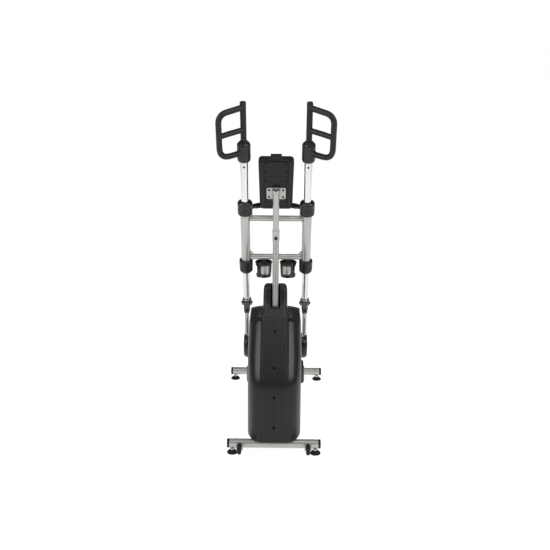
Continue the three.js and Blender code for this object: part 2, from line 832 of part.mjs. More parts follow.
function arm(isUpper) {
  const eyeOuter = armX + eyeWidth;
  const barStart = armX + (eyeWidth - armThickness) / 2;
  const bar = block(barStart, barStart + armThickness, 0, armLength, -armHeight / 2, armHeight / 2);
  const eyes = [0, armLength].map((y) => rod(vector(armX, y, 0), vector(eyeOuter, y, 0), eyeDiameter));
  const inner = isUpper ? bevelRadius : beamWidth / 2 + 8;
  const sleeve = rod(vector(inner, 0, 0), vector(armX + 2, 0, 0), sleeveDiameter);
  const pieces = [bar, ...eyes, sleeve];
  if (isUpper) {
    pieces.push(turnedAboutX([[0, 10], [10, 10], [bevelRadius, bevelRadius], [bevelRadius, 28], [0, 28]], 20));
  }
  const shaftBore = rod(vector(0, 0, 0), vector(eyeOuter + 5, 0, 0), axleDiameter + 2 * runGap);
  const pinBore = rod(
    vector(armX - 5, armLength, 0),
    vector(eyeOuter + 5, armLength, 0),
    pinDiameter + 2 * runGap,
    14,
  );
  return cut(join(...pieces), shaftBore, pinBore);
}

for (const [level, height] of [["upper", upperPivotHeight], ["lower", lowerPivotHeight]]) {
  for (const [sideName, side] of sides) {
    const piece = add(machine, `${level}_arm_${sideName}`, sided(arm(level === "upper"), side), paint);
    piece.position.set(0, pivotY, height);
    piece.rotation.x = armLean;
  }
}

// Upright plate that joins both arms of a side to the pedal's foot. Its
// window leaves room for the strut's pin.
function hanger() {
  const upperEnd = upperPivotHeight + armEndRise;
  const lowerEnd = lowerPivotHeight + armEndRise;
  const x0 = hangerX;
  const x1 = hangerX + hangerThickness;
  const footTop = pedalBottom - fitGap;
  const reach = pinDiameter / 2 + windowClearance;
  const swing = strutLength * Math.sin(strutSwing);
  const windowLeft = jointPinY - swing - reach;
  const windowRight = jointPinY + kneeSag * Math.cos(armLean) + swing + reach;
  const windowLow = kneeZ - reach;
  const windowHigh = kneeZ + kneeSag * Math.sin(armLean) + reach;
  const rim = 14;
  const plate = outlineOf([
    [armEndY - 26, footTop - 22],
    [pedalSetback + pedalLength * 0.72, footTop - 22],
    [pedalSetback + pedalLength * 0.72, footTop],
    [armEndY + 30, footTop],
    [armEndY + 26, upperEnd],
    [windowRight + rim, windowLow - 8],
    [windowRight + rim, windowHigh + rim],
    [windowLeft - rim, windowHigh + rim],
    [windowLeft - rim, windowLow - rim],
    [armEndY - 26, lowerEnd],
  ]);
  const foot = block(x1 - 98, x1, pedalSetback + 60, pedalSetback + pedalLength * 0.72, footTop - 22, footTop);
  const pins = [upperEnd, lowerEnd].map((z) => rod(
    vector(armX - 4, armEndY, z),
    vector(x0 + 2, armEndY, z),
    pinDiameter,
    14,
  ));
  const window = block(x0 - 5, x1 + 5, windowLeft, windowRight, windowLow, windowHigh);
  return cut(join(sidePlate(plate, x0, x1), foot, ...pins), window);
}

// Round dished cover over the knee, open at the top for the strut.
function kneeCover() {
  const r = kneeCoverDiameter / 2;
  const x0 = hangerX + hangerThickness + fitGap;
  const x1 = x0 + kneeCoverDepth;
  const y = jointPinY + (kneeSag * Math.cos(armLean)) / 2;
  const dish = turnedAboutX([
    [r - 6, x0],
    [r, x0 + 4],
    [r, x1 - 10],
    [r - 10, x1],
    [0, x1],
    [0, x1 - shellWall],
    [r - 12, x1 - shellWall],
    [r - shellWall, x1 - 12],
    [r - 6 - shellWall, x0],
    [r - 6, x0],
  ], 20);
  const mouth = block(x0 - 1, x1 - shellWall - 2, -46, 46, 20, r + 10);
  return cut(dish, mouth).translate(0, y, kneeZ);
}

// Shallow tray with a raised toe guard in front.
function pedal() {
  const x1 = poleX + 8;
  const middle = [x1 - pedalWidth / 2, pedalSetback + pedalLength / 2];
  const corner = 34;
  const top = pedalBottom + toeGuardRise;
  const outer = flatPlate(roundedOutline(pedalWidth, pedalLength, corner), pedalBottom, top);
  const inset = 2 * shellWall;
  const well = flatPlate(
    roundedOutline(pedalWidth - inset, pedalLength - inset, corner - shellWall),
    pedalBottom + 12,
    top + 5,
  );
  const tray = cut(outer, well).translate(middle[0], middle[1], 0);
  const rim = pedalBottom + pedalRim;
  const above = outlineOf([
    [pedalSetback + 60, top + 10],
    [pedalSetback + 60, top - 16],
    [pedalSetback + 150, rim],
    [pedalSetback + pedalLength + 20, rim - 10],
    [pedalSetback + pedalLength + 20, top + 10],
  ]);
  return cut(tray, sidePlate(above, x1 - pedalWidth - 10, x1 + 10));
}

for (const [sideName, side] of sides) {
  add(machine, `hanger_${sideName}`, sided(hanger(), side), paint);
  add(machine, `knee_cover_${sideName}`, sided(kneeCover(), side), blackPlastic);
  add(machine, `pedal_${sideName}`, sided(pedal(), side), blackPlastic);
}

// --------------------------------------------------------------------- drive

const plateInner = beamWidth / 2 + fitGap;
const plateOuter = plateInner + drivePlate;

// Two side plates between the beam and the flywheel, bored for the shafts
// and tied by the lower arms' axle and the magnet arm's stud.
function driveFrame() {
  const outline = outlineOf([
    [pivotY - 70, baseHeight - 15],
    [pivotY + 80, baseHeight - 15],
    [flywheelY + 30, flywheelZ + 30],
    [flywheelY - 30, flywheelZ + 30],
    [flywheelY - 135, flywheelZ - 60],
    [pivotY - 70, upperPivotHeight + 60],
  ]);
  const holes = [
    axle(pivotY, upperPivotHeight, sleeveDiameter + 2 * runGap, plateOuter + 5),
    axle(flywheelY, flywheelZ, flywheelAxleDiameter + 2 * fitGap, plateOuter + 5),
  ];
  const plate = cut(sidePlate(outline, plateInner, plateOuter), ...holes);
  const stud = rod(
    vector(plateInner + 1, flywheelY + magnet.hinge[0], flywheelZ + magnet.hinge[1]),
    vector(flywheelStart + flywheelWidth + 4, flywheelY + magnet.hinge[0], flywheelZ + magnet.hinge[1]),
    magnetStudDiameter,
    10,
  );
  return join(plate, mirrored(plate), axle(pivotY, lowerPivotHeight, axleDiameter, armReach), stud);
}

function axle(y, z, diameter, reach) {
  return rod(vector(-reach, y, z), vector(reach, y, z), diameter);
}

const armReach = armX + eyeWidth + 4;
add(machine, "main_axle", axle(pivotY, upperPivotHeight, axleDiameter, armReach), darkSteel);
add(machine, "flywheel_axle", axle(flywheelY, flywheelZ, flywheelAxleDiameter, pulleyStart + 22), darkSteel);

// Bevel pinion between the two arms' bevels; it turns one arm against the other.
function bevelPinion() {
  const apex = 11;
  const lathe = turnedAboutZ([[0, apex + 2], [apex, apex + 2], [bevelRadius - 1, bevelRadius + 1],
    [bevelRadius - 1, bevelRadius + 6], [9, bevelRadius + 6], [9, bevelRadius + 14], [0, bevelRadius + 14]], 20);
  return lathe.rotateX(-Math.PI / 2);
}

const pinion = add(machine, "bevel_pinion", bevelPinion(), darkSteel);
pinion.position.set(0, pivotY, upperPivotHeight);

function drivePulley() {
  const r = pulleyDiameter / 2;
  const bore = boreRadius(sleeveDiameter, runGap, 20);
  const x0 = pulleyStart;
  const x1 = pulleyStart + pulleyWidth;
  return turnedAboutX([
    [bore, x0],
    [32, x0],
    [32, x0 + 5],
    [r - 12, x0 + 5],
    [r - 12, x0],
    [r, x0],
    [r, x1],
    [r - 12, x1],
    [r - 12, x1 - 5],
    [32, x1 - 5],
    [32, x1],
    [bore, x1],
    [bore, x0],
  ], 20);
}

add(machine, "drive_pulley", drivePulley(), blackPlastic).position.set(0, pivotY, upperPivotHeight);

function flywheel() {
  const r = flywheelDiameter / 2;
  const bore = boreRadius(flywheelAxleDiameter, runGap, 20);
  const x0 = flywheelStart;
  const x1 = flywheelStart + flywheelWidth;
  const hubEnd = pulleyStart + pulleyWidth;
  const small = smallPulleyDiameter / 2;
  return turnedAboutX([
    [bore, x0 + 2],
    [30, x0 + 2],
    [30, x0 + 8],
    [r - 32, x0 + 8],
    [r - 32, x0],
    [r, x0],
    [r, x1],
    [r - 32, x1],
    [r - 32, x1 - 8],
    [24, x1 - 8],
    [24, pulleyStart],
    [small, pulleyStart],
    [small, hubEnd],
    [bore, hubEnd],
    [bore, x0 + 2],
  ], 20);
}

add(machine, "flywheel", flywheel(), darkSteel).position.set(0, flywheelY, flywheelZ);

// Flat loop round both pulleys: two arcs joined by their common tangents.
function driveBelt() {
  const span = Math.hypot(flywheelSetback, flywheelRise);
  const slant = Math.acos((pulleyDiameter - smallPulleyDiameter) / 2 / span);
  const loopShape = (grow, PathType) => {
    const path = new PathType();
    path.absarc(0, 0, pulleyDiameter / 2 + grow, slant, 2 * Math.PI - slant);
    path.absarc(span, 0, smallPulleyDiameter / 2 + grow, -slant, slant);
    path.closePath();
    return path;
  };
  const shape = loopShape(runGap + beltThickness, THREE.Shape);
  shape.holes.push(loopShape(runGap, THREE.Path));
  const belt = new THREE.ExtrudeGeometry(shape, { depth: beltWidth, bevelEnabled: false, curveSegments: 10 });
  const along = vector(0, flywheelSetback, flywheelRise).normalize();
  const sideways = vector(1, 0, 0);
  const across = sideways.clone().cross(along);
  belt.applyMatrix4(new THREE.Matrix4().makeBasis(along, across, sideways));
  return belt.translate(pulleyStart + (pulleyWidth - beltWidth) / 2, pivotY, upperPivotHeight);
}

add(machine, "drive_belt", driveBelt(), rubber);

// Curved magnet holder that swings towards the flywheel's rim on its own pin.
function magnetArm() {
  const inner = flywheelDiameter / 2 + clearance;
  const outer = inner + 14;
  const shape = new THREE.Shape();
  shape.absarc(0, 0, outer, 165 * radian, 215 * radian);
  shape.absarc(0, 0, inner, 215 * radian, 165 * radian, true);
  const shoe = sidePlate(shape, plateOuter + 2, flywheelStart + flywheelWidth);
  const middle = (inner + outer) / 2;
  const hinge = [middle * Math.cos(215 * radian), middle * Math.sin(215 * radian)];
  const eye = rod(vector(plateOuter + 2, ...hinge), vector(flywheelStart + flywheelWidth, ...hinge), 14);
  const boreDiameter = magnetStudDiameter + 2 * runGap;
  const bore = rod(vector(plateOuter, ...hinge), vector(flywheelStart + 60, ...hinge), boreDiameter, 10);
  return { hinge, solid: cut(join(shoe, eye), bore) };
}

const magnet = magnetArm();
add(machine, "magnet_arm", magnet.solid, darkSteel).position.set(0, flywheelY, flywheelZ);
add(machine, "drive_frame", driveFrame(), darkSteel);

// -------------------------------------------------------------------- shroud

const bodyTop = shroudShoulder;
const widthShares = [[90, 0.93], [112, 0.975], [440, 0.98], [560, 1], [730, 0.965], [819, 0.92]];

function spineY(z) {
  const upright = frontY - spineOverhang;
  return z < spineBreak ? upright : upright + (z - spineBreak) * Math.tan(spineLean);
}

// Half a level ring of the shroud on the user's left, from spine to rear.
function shroudRing(z, share, inset, seam) {
  const wide = shroudHalfWidth * share - inset;
  const front = spineY(z) + inset;
  const rear = shroudRear - inset;
  const level = z;
  return [
    [seam, front],
    [wide * 0.3, front + 1.5],
    [wide * 0.5, front + 6],
    [wide * 0.76, front + 28],
    [wide * 0.95, front + 58],
    [wide, front + 76],
    [wide, rear - 14],
    [wide - 10, rear],
    [seam, rear],
  ].map(([x, y]) => [x, y, level]);
}

function shroudHalf() {
  const outer = loft(widthShares.map(([z, share]) => shroudRing(z, share, 0, fitGap / 2)));
  const inner = widthShares.map(([z, share], number) => {
    const ring = shroudRing(z, share, shroudWall, -5);
    const last = number === widthShares.length - 1;
    const shift = number === 0 ? -5 : last ? -shroudWall : 0;
    return ring.map(([x, y, level]) => [x, y, level + shift]);
  });
  const mastWell = rod(mastFoot, mastBend, mastDiameter + 10);
  const slot = block(
    armX - 8,
    armX + eyeWidth + 6,
    shroudRear - 30,
    shroudRear + 5,
    shroudBottom + 16,
    shroudBottom + 345,
  );
  return cut(outer, loft(inner), mastWell, slot);
}

// Collar piece round the back of the mast, above the shoulders.
function shroudNeck() {
  const half = neckWidth / 2;
  const well = mastDiameter / 2 + 5;
  const outline = [
    [well, -16],
    [half - 12, -16],
    [half, 0],
    [half, 58],
    [half - 17, 76],
    [17 - half, 76],
    [-half, 58],
    [-half, 0],
    [12 - half, -16],
    [-well, -16],
    [-well, 10],
    [-14, well],
    [14, well],
    [well, 10],
  ];
  const cavity = [[half - 4, 30], [half - 4, 56], [half - 20, 71], [20 - half, 71], [4 - half, 56], [4 - half, 30]];
  const ringAt = (points, z) => {
    const middle = mastJointY - (mastJointHeight - z) * mastSlope;
    return points.map(([x, y]) => [x, middle + y, z]);
  };
  const low = bodyTop + fitGap;
  const high = low + neckHeight;
  const outer = loft([ringAt(outline, low), ringAt(outline, high)]);
  return cut(outer, loft([ringAt(cavity, low - 5), ringAt(cavity, high - 4)]));
}

for (const [sideName, side] of sides) {
  add(machine, `shroud_${sideName}`, sided(shroudHalf(), side), shroudPlastic);
}
add(machine, "shroud_neck", shroudNeck(), shroudPlastic);

export default machine;
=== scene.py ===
"""Leaning-pole elliptical climber: its visible pieces and finishes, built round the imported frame.

Lengths are in metres, +Z is up, the user faces -Y and +X is the user's left. Every piece is a
surface worked out as whole arrays from the frame's own boxes and joints, so it sits where the
frame says.
"""
import json
import math

import bmesh
import bpy
import numpy as np
from mathutils import Matrix, Vector

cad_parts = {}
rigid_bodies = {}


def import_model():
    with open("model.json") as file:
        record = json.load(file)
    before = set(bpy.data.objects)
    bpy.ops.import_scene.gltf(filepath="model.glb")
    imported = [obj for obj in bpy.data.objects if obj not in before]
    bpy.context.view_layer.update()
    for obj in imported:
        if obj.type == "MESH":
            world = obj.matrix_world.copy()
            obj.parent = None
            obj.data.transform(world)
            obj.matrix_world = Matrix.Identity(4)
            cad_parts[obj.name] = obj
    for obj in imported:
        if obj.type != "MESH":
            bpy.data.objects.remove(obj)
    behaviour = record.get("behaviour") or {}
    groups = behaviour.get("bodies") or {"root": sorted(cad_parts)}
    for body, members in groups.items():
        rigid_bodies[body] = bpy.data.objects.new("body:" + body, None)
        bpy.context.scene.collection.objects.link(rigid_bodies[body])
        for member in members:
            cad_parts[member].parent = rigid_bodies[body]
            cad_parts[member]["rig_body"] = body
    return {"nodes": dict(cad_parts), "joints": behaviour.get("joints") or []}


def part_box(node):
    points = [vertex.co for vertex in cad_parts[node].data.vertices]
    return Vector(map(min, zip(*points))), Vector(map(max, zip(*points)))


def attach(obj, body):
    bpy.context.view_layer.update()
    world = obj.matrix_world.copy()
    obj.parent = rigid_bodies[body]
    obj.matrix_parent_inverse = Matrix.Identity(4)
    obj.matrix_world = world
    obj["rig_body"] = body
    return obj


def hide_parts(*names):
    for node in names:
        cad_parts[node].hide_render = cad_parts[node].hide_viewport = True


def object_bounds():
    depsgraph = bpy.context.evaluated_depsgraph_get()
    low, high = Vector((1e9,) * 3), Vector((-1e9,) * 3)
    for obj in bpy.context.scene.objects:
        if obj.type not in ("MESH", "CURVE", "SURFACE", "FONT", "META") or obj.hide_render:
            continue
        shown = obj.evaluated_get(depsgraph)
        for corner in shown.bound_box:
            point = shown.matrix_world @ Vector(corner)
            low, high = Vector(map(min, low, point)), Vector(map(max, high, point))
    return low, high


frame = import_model()
CAD_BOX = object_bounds()

bl_info = {
    "name": "Leaning Pole Climber",
    "version": (1, 0, 0),
    "blender": (4, 5, 0),
    "location": "View3D > Sidebar > Climber",
    "description": "Builds the visible pieces and finishes of a leaning-pole elliptical climber",
    "category": "Object",
}

MM = 0.001
SIDES = (("left", 1), ("right", -1))
JOINTS = {joint["name"]: joint for joint in frame["joints"]}

# ------------------------------------------------------------------ places read from the frame


def node_box(node):
    """Lowest and highest corner of a frame node, as two arrays."""
    low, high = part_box(node)
    return np.array(low, float), np.array(high, float)


def middle(node):
    """Centre of a frame node's box."""
    low, high = node_box(node)
    return (low + high) / 2


LEAN = np.array(JOINTS["left_pole_slide"]["axis"], float)
JOINT_PIN_RISE = 54 * MM
X_AXIS = np.array((1.0, 0.0, 0.0))
Y_AXIS = np.array((0.0, 1.0, 0.0))
Z_AXIS = np.array((0.0, 0.0, 1.0))
LEAN_BACK = np.cross(LEAN, X_AXIS)
LEAN_BACK = LEAN_BACK if LEAN_BACK[1] > 0 else -LEAN_BACK


def pole_point(side_name, along):
    """A point on a pole's axis, measured upwards from its lower joint bolt."""
    pin = np.array(JOINTS[f"{side_name}_strut_hinge"]["pos_m"], float)
    return pin + LEAN * (along - JOINT_PIN_RISE)


def along_pole(node, radius):
    """Where a round piece on a pole starts and ends, measured as pole_point does."""
    low, high = node_box(node)
    base = pole_point("left", 0.0)[2]
    tip = radius * math.sqrt(1 - LEAN[2] ** 2)
    return (low[2] + tip - base) / LEAN[2], (high[2] - tip - base) / LEAN[2]


# ------------------------------------------------------------------ surfaces as whole arrays


def rounded_line(points, radii, steps=6, closed=False):
    """A line of 2-D points with each corner replaced by an arc-like quadratic curve.

    A corner P with neighbours A and B is cut back by its radius on both legs, to Q and R, and
    the curve is (1-t)^2 Q + 2t(1-t) P + t^2 R for t from 0 to 1.
    """
    points = np.asarray(points, float)
    radii = np.broadcast_to(np.asarray(radii, float), (len(points),))
    before = np.roll(points, 1, axis=0)
    after = np.roll(points, -1, axis=0)
    leg_in = before - points
    leg_out = after - points
    length_in = np.linalg.norm(leg_in, axis=1)
    length_out = np.linalg.norm(leg_out, axis=1)
    reach = np.minimum(radii, 0.499 * np.minimum(length_in, length_out))[:, None]
    start = points + leg_in / np.maximum(length_in, 1e-9)[:, None] * reach
    end = points + leg_out / np.maximum(length_out, 1e-9)[:, None] * reach
    t = np.linspace(0, 1, steps)[None, :, None]
    curve = (1 - t) ** 2 * start[:, None] + 2 * t * (1 - t) * points[:, None] + t**2 * end[:, None]
    pieces = [curve[k] if radii[k] > 0 else points[k][None] for k in range(len(points))]
    if not closed:
        pieces[0], pieces[-1] = points[:1], points[-1:]
    return np.concatenate(pieces)


def evenly(line, count, closed=False):
    """The same line with count points at equal distances along it."""
    line = np.concatenate([line, line[:1]]) if closed else line
    steps = np.linalg.norm(np.diff(line, axis=0), axis=1)
    travel = np.concatenate([[0], np.cumsum(steps)])
    wanted = np.linspace(0, travel[-1], count, endpoint=not closed)
    return np.stack([np.interp(wanted, travel, line[:, k]) for k in range(line.shape[1])], axis=1)


def grid_faces(rows, columns, wrap):
    """Quads of a rows by columns grid; wrap joins the last column to the first."""
    row = np.arange(rows - 1)[:, None]
    column = np.arange(columns if wrap else columns - 1)[None, :]
    after = (column + 1) % columns
    quads = [row * columns + column, row * columns + after,
             (row + 1) * columns + after, (row + 1) * columns + column]
    return np.stack([np.broadcast_to(q, np.broadcast_shapes(row.shape, column.shape)) for q in quads],
                    axis=-1).reshape(-1, 4)


def skin(grid, wrap=True, capped=True):
    """A shape from a grid of points: its quads, and a flat cap on its first and last rows."""
    rows, columns = grid.shape[:2]
    faces = grid_faces(rows, columns, wrap).tolist()
    if capped:
        faces.append(list(range(columns))[::-1])
        faces.append(list(range((rows - 1) * columns, rows * columns)))
    return grid.reshape(-1, 3), faces


def turned(profile, origin, axis, corner=1.5 * MM, around=64, steps=5, radii=None):
    """A profile of (radius, height) turned about an axis.

    A point is origin + height * axis + radius * (cos a * p + sin a * q), where p and q are the
    two directions square to the axis; the profile's corners are rounded first.
    """
    line = rounded_line(profile, corner if radii is None else radii, steps)
    axis = np.asarray(axis, float) / np.linalg.norm(axis)
    helper = X_AXIS if abs(axis[0]) < 0.9 else Z_AXIS
    across = np.cross(axis, helper)
    across /= np.linalg.norm(across)
    other = np.cross(axis, across)
    angle = np.linspace(0, 2 * math.pi, around, endpoint=False)
    ring = np.cos(angle)[:, None] * across + np.sin(angle)[:, None] * other
    grid = np.asarray(origin) + line[:, 1, None, None] * axis + line[:, 0, None, None] * ring
    return skin(grid, capped=False)


def swept(path, normal, radius, around=32, tip=0.0):
    """A round tube along a path that lies in one plane.

    A point is path + radius * (cos a * normal + sin a * (tangent x normal)). tip rounds the
    ends: there the radius shrinks as a quarter ellipse of that length.
    """
    path = np.asarray(path, float)
    normal = np.asarray(normal, float) / np.linalg.norm(normal)
    tangent = np.gradient(path, axis=0)
    tangent /= np.linalg.norm(tangent, axis=1)[:, None]
    if tip > 0:
        turn = np.linspace(0, math.pi / 2, 7)[:-1]
        start = path[0] + tangent[0] * (tip * (1 - np.sin(turn)))[:, None]
        end = (path[-1] - tangent[-1] * (tip * (1 - np.sin(turn)))[:, None])[::-1]
        inside = np.linalg.norm(path - path[0], axis=1) > tip
        inside &= np.linalg.norm(path - path[-1], axis=1) > tip
        shrink = 1 - (1 - np.cos(math.pi / 2 - turn)) * min(1.0, tip / radius)
        scale = np.concatenate([shrink, np.ones(inside.sum()), shrink[::-1]])
        tangent = np.concatenate([np.repeat(tangent[:1], len(turn), 0), tangent[inside],
                                  np.repeat(tangent[-1:], len(turn), 0)])
        path = np.concatenate([start, path[inside], end])
    else:
        scale = np.ones(len(path))
    across = np.cross(tangent, normal)
    angle = np.linspace(0, 2 * math.pi, around, endpoint=False)
    grid = (path[:, None] + radius * scale[:, None, None]
            * (np.cos(angle)[None, :, None] * normal + np.sin(angle)[None, :, None] * across[:, None]))
    return skin(grid)


def straight(start, end, count=2):
    """Evenly spaced points from start to end."""
    share = np.linspace(0, 1, count)[:, None]
    return np.asarray(start) * (1 - share) + np.asarray(end) * share


def inset(outline, amount):
    """A closed outline moved inwards by amount along its corner normals."""
    ahead = np.roll(outline, -1, axis=0) - outline
    behind = outline - np.roll(outline, 1, axis=0)
    ahead /= np.maximum(np.linalg.norm(ahead, axis=1), 1e-9)[:, None]
    behind /= np.maximum(np.linalg.norm(behind, axis=1), 1e-9)[:, None]
    tangent = ahead + behind
    tangent /= np.maximum(np.linalg.norm(tangent, axis=1), 1e-9)[:, None]
    return outline + amount * np.stack([-tangent[:, 1], tangent[:, 0]], axis=1)


def slab(outline, origin, across, up, start, end, edge=1.5 * MM, steps=4):
    """An anticlockwise outline given a thickness, with rounded rims.

    A point is origin + u * across + v * up + h * (across x up), h running from start to end; the
    rims are quarter circles of radius edge.
    """
    across = np.asarray(across, float)
    up = np.asarray(up, float)
    out = np.cross(across, up)
    turn = np.linspace(0, math.pi / 2, steps)
    insets = np.concatenate([edge * (1 - np.sin(turn)), edge * (1 - np.sin(turn[::-1]))])
    heights = np.concatenate([start + edge * (1 - np.cos(turn)), end - edge * (1 - np.cos(turn[::-1]))])
    rings = np.stack([inset(outline, amount) for amount in insets])
    grid = (np.asarray(origin) + rings[..., :1] * across + rings[..., 1:] * up
            + heights[:, None, None] * out)
    return skin(grid)


def oblong(width, height, radius, steps=8, centre=(0.0, 0.0)):
    """A rectangle with round corners, anticlockwise."""
    w, h = width / 2, height / 2
    corners = [(-w, -h), (w, -h), (w, h), (-w, h)]
    return rounded_line(corners, radius, steps, closed=True) + np.asarray(centre)


def smooth(value, low, high):
    """Rises from 0 at low to 1 at high as t^2 (3 - 2t), t being the share of the way."""
    t = np.clip((value - low) / (high - low), 0, 1)
    return t * t * (3 - 2 * t)


def cap_screw(at, axis, head=6 * MM, rise=4 * MM, socket=0.5):
    """A cap screw: a turned low cylinder with a rounded rim and a round socket."""
    profile = [(0, 0), (head, 0), (head, rise), (head * socket, rise), (head * socket, rise * 0.35), (0, rise * 0.3)]
    return turned(profile, at, axis, 0.6 * MM, around=24, steps=3)


# ------------------------------------------------------------------ making pieces


def make(name, shapes, material, body, replaces=(), sharp=38, outward=True):
    """One object from a list of shapes, riding on a body.

    Doubles are merged first; then, unless outward is False, the faces are turned outwards.
    Edges sharper than sharp degrees stay crisp.
    """
    mesh = bpy.data.meshes.new(name)
    points = []
    faces = []
    for shape_points, shape_faces in shapes:
        start = sum(len(p) for p in points)
        points.append(shape_points)
        faces.extend([[corner + start for corner in face] for face in shape_faces])
    mesh.from_pydata(np.concatenate(points), [], faces)
    work = bmesh.new()
    work.from_mesh(mesh)
    bmesh.ops.remove_doubles(work, verts=work.verts, dist=2e-6)
    bmesh.ops.dissolve_degenerate(work, edges=work.edges, dist=1e-7)
    if outward:
        bmesh.ops.recalc_face_normals(work, faces=work.faces)
    work.to_mesh(mesh)
    work.free()
    mesh.materials.append(material)
    mesh.polygons.foreach_set("use_smooth", np.ones(len(mesh.polygons), bool))
    mesh.set_sharp_from_angle(angle=math.radians(sharp))
    piece = bpy.data.objects.new(name, mesh)
    bpy.context.scene.collection.objects.link(piece)
    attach(piece, body)
    if replaces:
        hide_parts(*([replaces] if isinstance(replaces, str) else replaces))
    return piece


def give_wall(piece, thickness):
    """Gives an open piece a wall of that thickness, set inwards."""
    modifier = piece.modifiers.new("Wall", "SOLIDIFY")
    modifier.thickness = thickness
    modifier.offset = -1


# ------------------------------------------------------------------ sizes and colours to change


def colour_setting(name, description, rgb):
    """A colour with its name, what it is for and its default."""
    return bpy.props.FloatVectorProperty(name=name, description=description, default=rgb,
                                         subtype="COLOR", size=3, min=0.0, max=1.0)


def length_setting(name, description, metres, least, most):
    """A length with its name, what it is for, its default and its range."""
    return bpy.props.FloatProperty(name=name, description=description, default=metres,
                                   unit="LENGTH", min=least, max=most)


def strength_setting(name, description, strength, unit="NONE"):
    """A light's strength with its name, what it is for and its default."""
    return bpy.props.FloatProperty(name=name, description=description, default=strength, unit=unit, min=0.0)


class ClimberColours(bpy.types.PropertyGroup):
    """Colour of each finish on the machine."""

    frame_paint: colour_setting("Frame Paint", "Silver lacquer on the steel tubes", (0.40, 0.392, 0.375))
    chrome: colour_setting("Chrome", "Plating on the two sliding poles", (0.64, 0.65, 0.67))
    black_plastic: colour_setting("Black Plastic", "Collars, caps, cups and covers", (0.006, 0.006, 0.0063))
    console_plastic: colour_setting("Console Plastic", "Housing of the console", (0.0045, 0.0045, 0.0048))
    grip_rubber: colour_setting("Grip Foam", "Foam on the hand grips", (0.008, 0.008, 0.0083))
    shroud_plastic: colour_setting("Shroud Plastic", "Covers of the drive", (0.012, 0.012, 0.0125))
    rubber: colour_setting("Rubber", "Feet, tyres and belt", (0.009, 0.009, 0.009))
    dark_steel: colour_setting("Dark Steel", "Shafts, bolts and the drive frame", (0.045, 0.045, 0.047))
    cast_iron: colour_setting("Cast Iron", "Flywheel", (0.12, 0.12, 0.12))
    zinc: colour_setting("Zinc", "Studs and nuts of the levelling feet", (0.50, 0.54, 0.60))
    screen_glass: colour_setting("Screen Glass", "Display window", (0.010, 0.012, 0.014))


class ClimberSizes(bpy.types.PropertyGroup):
    """Sizes of the small details."""

    screw_head: length_setting("Screw Head Radius", "Radius of the cover screws", 4.5 * MM, 2 * MM, 8 * MM)
    bolt_head: length_setting("Bolt Head Radius", "Radius of the frame bolts", 8 * MM, 4 * MM, 10 * MM)
    weld: length_setting("Weld Size", "Width of the weld beads", 3 * MM, 1 * MM, 6 * MM)
    spine_rise: length_setting("Spine Rise", "Height of the shroud's raised spine", 6 * MM, 0.0, 9 * MM)
    seam_depth: length_setting("Seam Depth", "Depth of the moulding seams", 1.2 * MM, 0.3 * MM, 2 * MM)


class ClimberStage(bpy.types.PropertyGroup):
    """Floor, backdrop and light."""

    floor_colour: colour_setting("Floor", "Pale studio floor", (0.40, 0.40, 0.40))
    sky: strength_setting("Sky", "Strength of the even light", 0.2)
    floor_glow: strength_setting("Floor Glow", "Light the floor gives off near the machine", 0.88)
    key: strength_setting("Key", "Power of the main soft light", 30.0, "POWER")
    side: strength_setting("Side", "Power of each side light", 80.0, "POWER")


# ------------------------------------------------------------------ finishes

# rough, metal and gloss go to the shader; vary is the tint's swing, patch and grain are the scales
# of the broad and the fine noise, relief the bump's depth in millimetres and edge the strength of the painted
# highlight on convex edges.
FINISHES = {
    "frame_paint": {"rough": 0.30, "metal": 0.55, "vary": 0.05, "patch": 5, "grain": 700, "relief": 0.004,
                    "coat": 0.35, "coat_rough": 0.14, "edge": 0.10},
    "chrome": {"rough": 0.07, "metal": 1.0, "vary": 0.03, "patch": 4, "grain": 90, "relief": 0.002,
               "stretch": (1, 1, 0.05), "edge": 0.0},
    "black_plastic": {"gloss": 0.4, "rough": 0.30, "metal": 0.0, "vary": 0.16, "patch": 9, "grain": 1500,
                      "relief": 0.007, "edge": 0.35},
    "console_plastic": {"gloss": 0.28, "rough": 0.30, "metal": 0.0, "vary": 0.12, "patch": 8, "grain": 1900,
                        "relief": 0.004, "edge": 0.3},
    "grip_rubber": {"gloss": 0.3, "rough": 0.48, "metal": 0.0, "vary": 0.2, "patch": 14, "grain": 1100,
                    "relief": 0.02, "edge": 0.15},
    "shroud_plastic": {"gloss": 0.24, "rough": 0.33, "metal": 0.0, "vary": 0.12, "patch": 4, "grain": 1300,
                       "relief": 0.006, "edge": 0.4},
    "rubber": {"gloss": 0.28, "rough": 0.72, "metal": 0.0, "vary": 0.2, "patch": 20, "grain": 900,
               "relief": 0.015, "edge": 0.2},
    "dark_steel": {"rough": 0.38, "metal": 0.9, "vary": 0.15, "patch": 12, "grain": 500, "relief": 0.008,
                   "edge": 0.5},
    "cast_iron": {"rough": 0.55, "metal": 0.85, "vary": 0.2, "patch": 15, "grain": 420, "relief": 0.02,
                  "edge": 0.5},
    "zinc": {"rough": 0.28, "metal": 1.0, "vary": 0.18, "patch": 60, "grain": 600, "relief": 0.01, "edge": 0.2},
    "screen_glass": {"rough": 0.06, "metal": 0.0, "vary": 0.1, "patch": 3, "grain": 40, "relief": 0.001,
                     "coat": 1.0, "coat_rough": 0.03, "edge": 0.0},
}
# A copy of black plastic with no reflection, so the screws read as dark as the shade in their recesses: painted
# shade.
DULL_SCREWS_PAINTED_SHADE = {**FINISHES["black_plastic"], "gloss": 0.0, "rough": 0.8, "edge": 0.0}
GLOSSY_BORDER = {**FINISHES["console_plastic"], "rough": 0.16, "edge": 0.2}
NOISE_LOW, NOISE_HIGH = 0.3, 0.7
# Pointiness span over which convex edges are lightened: a painted highlight along edges.
EDGE_HIGHLIGHT_STARTS, EDGE_HIGHLIGHT_FULL = 0.53, 0.62


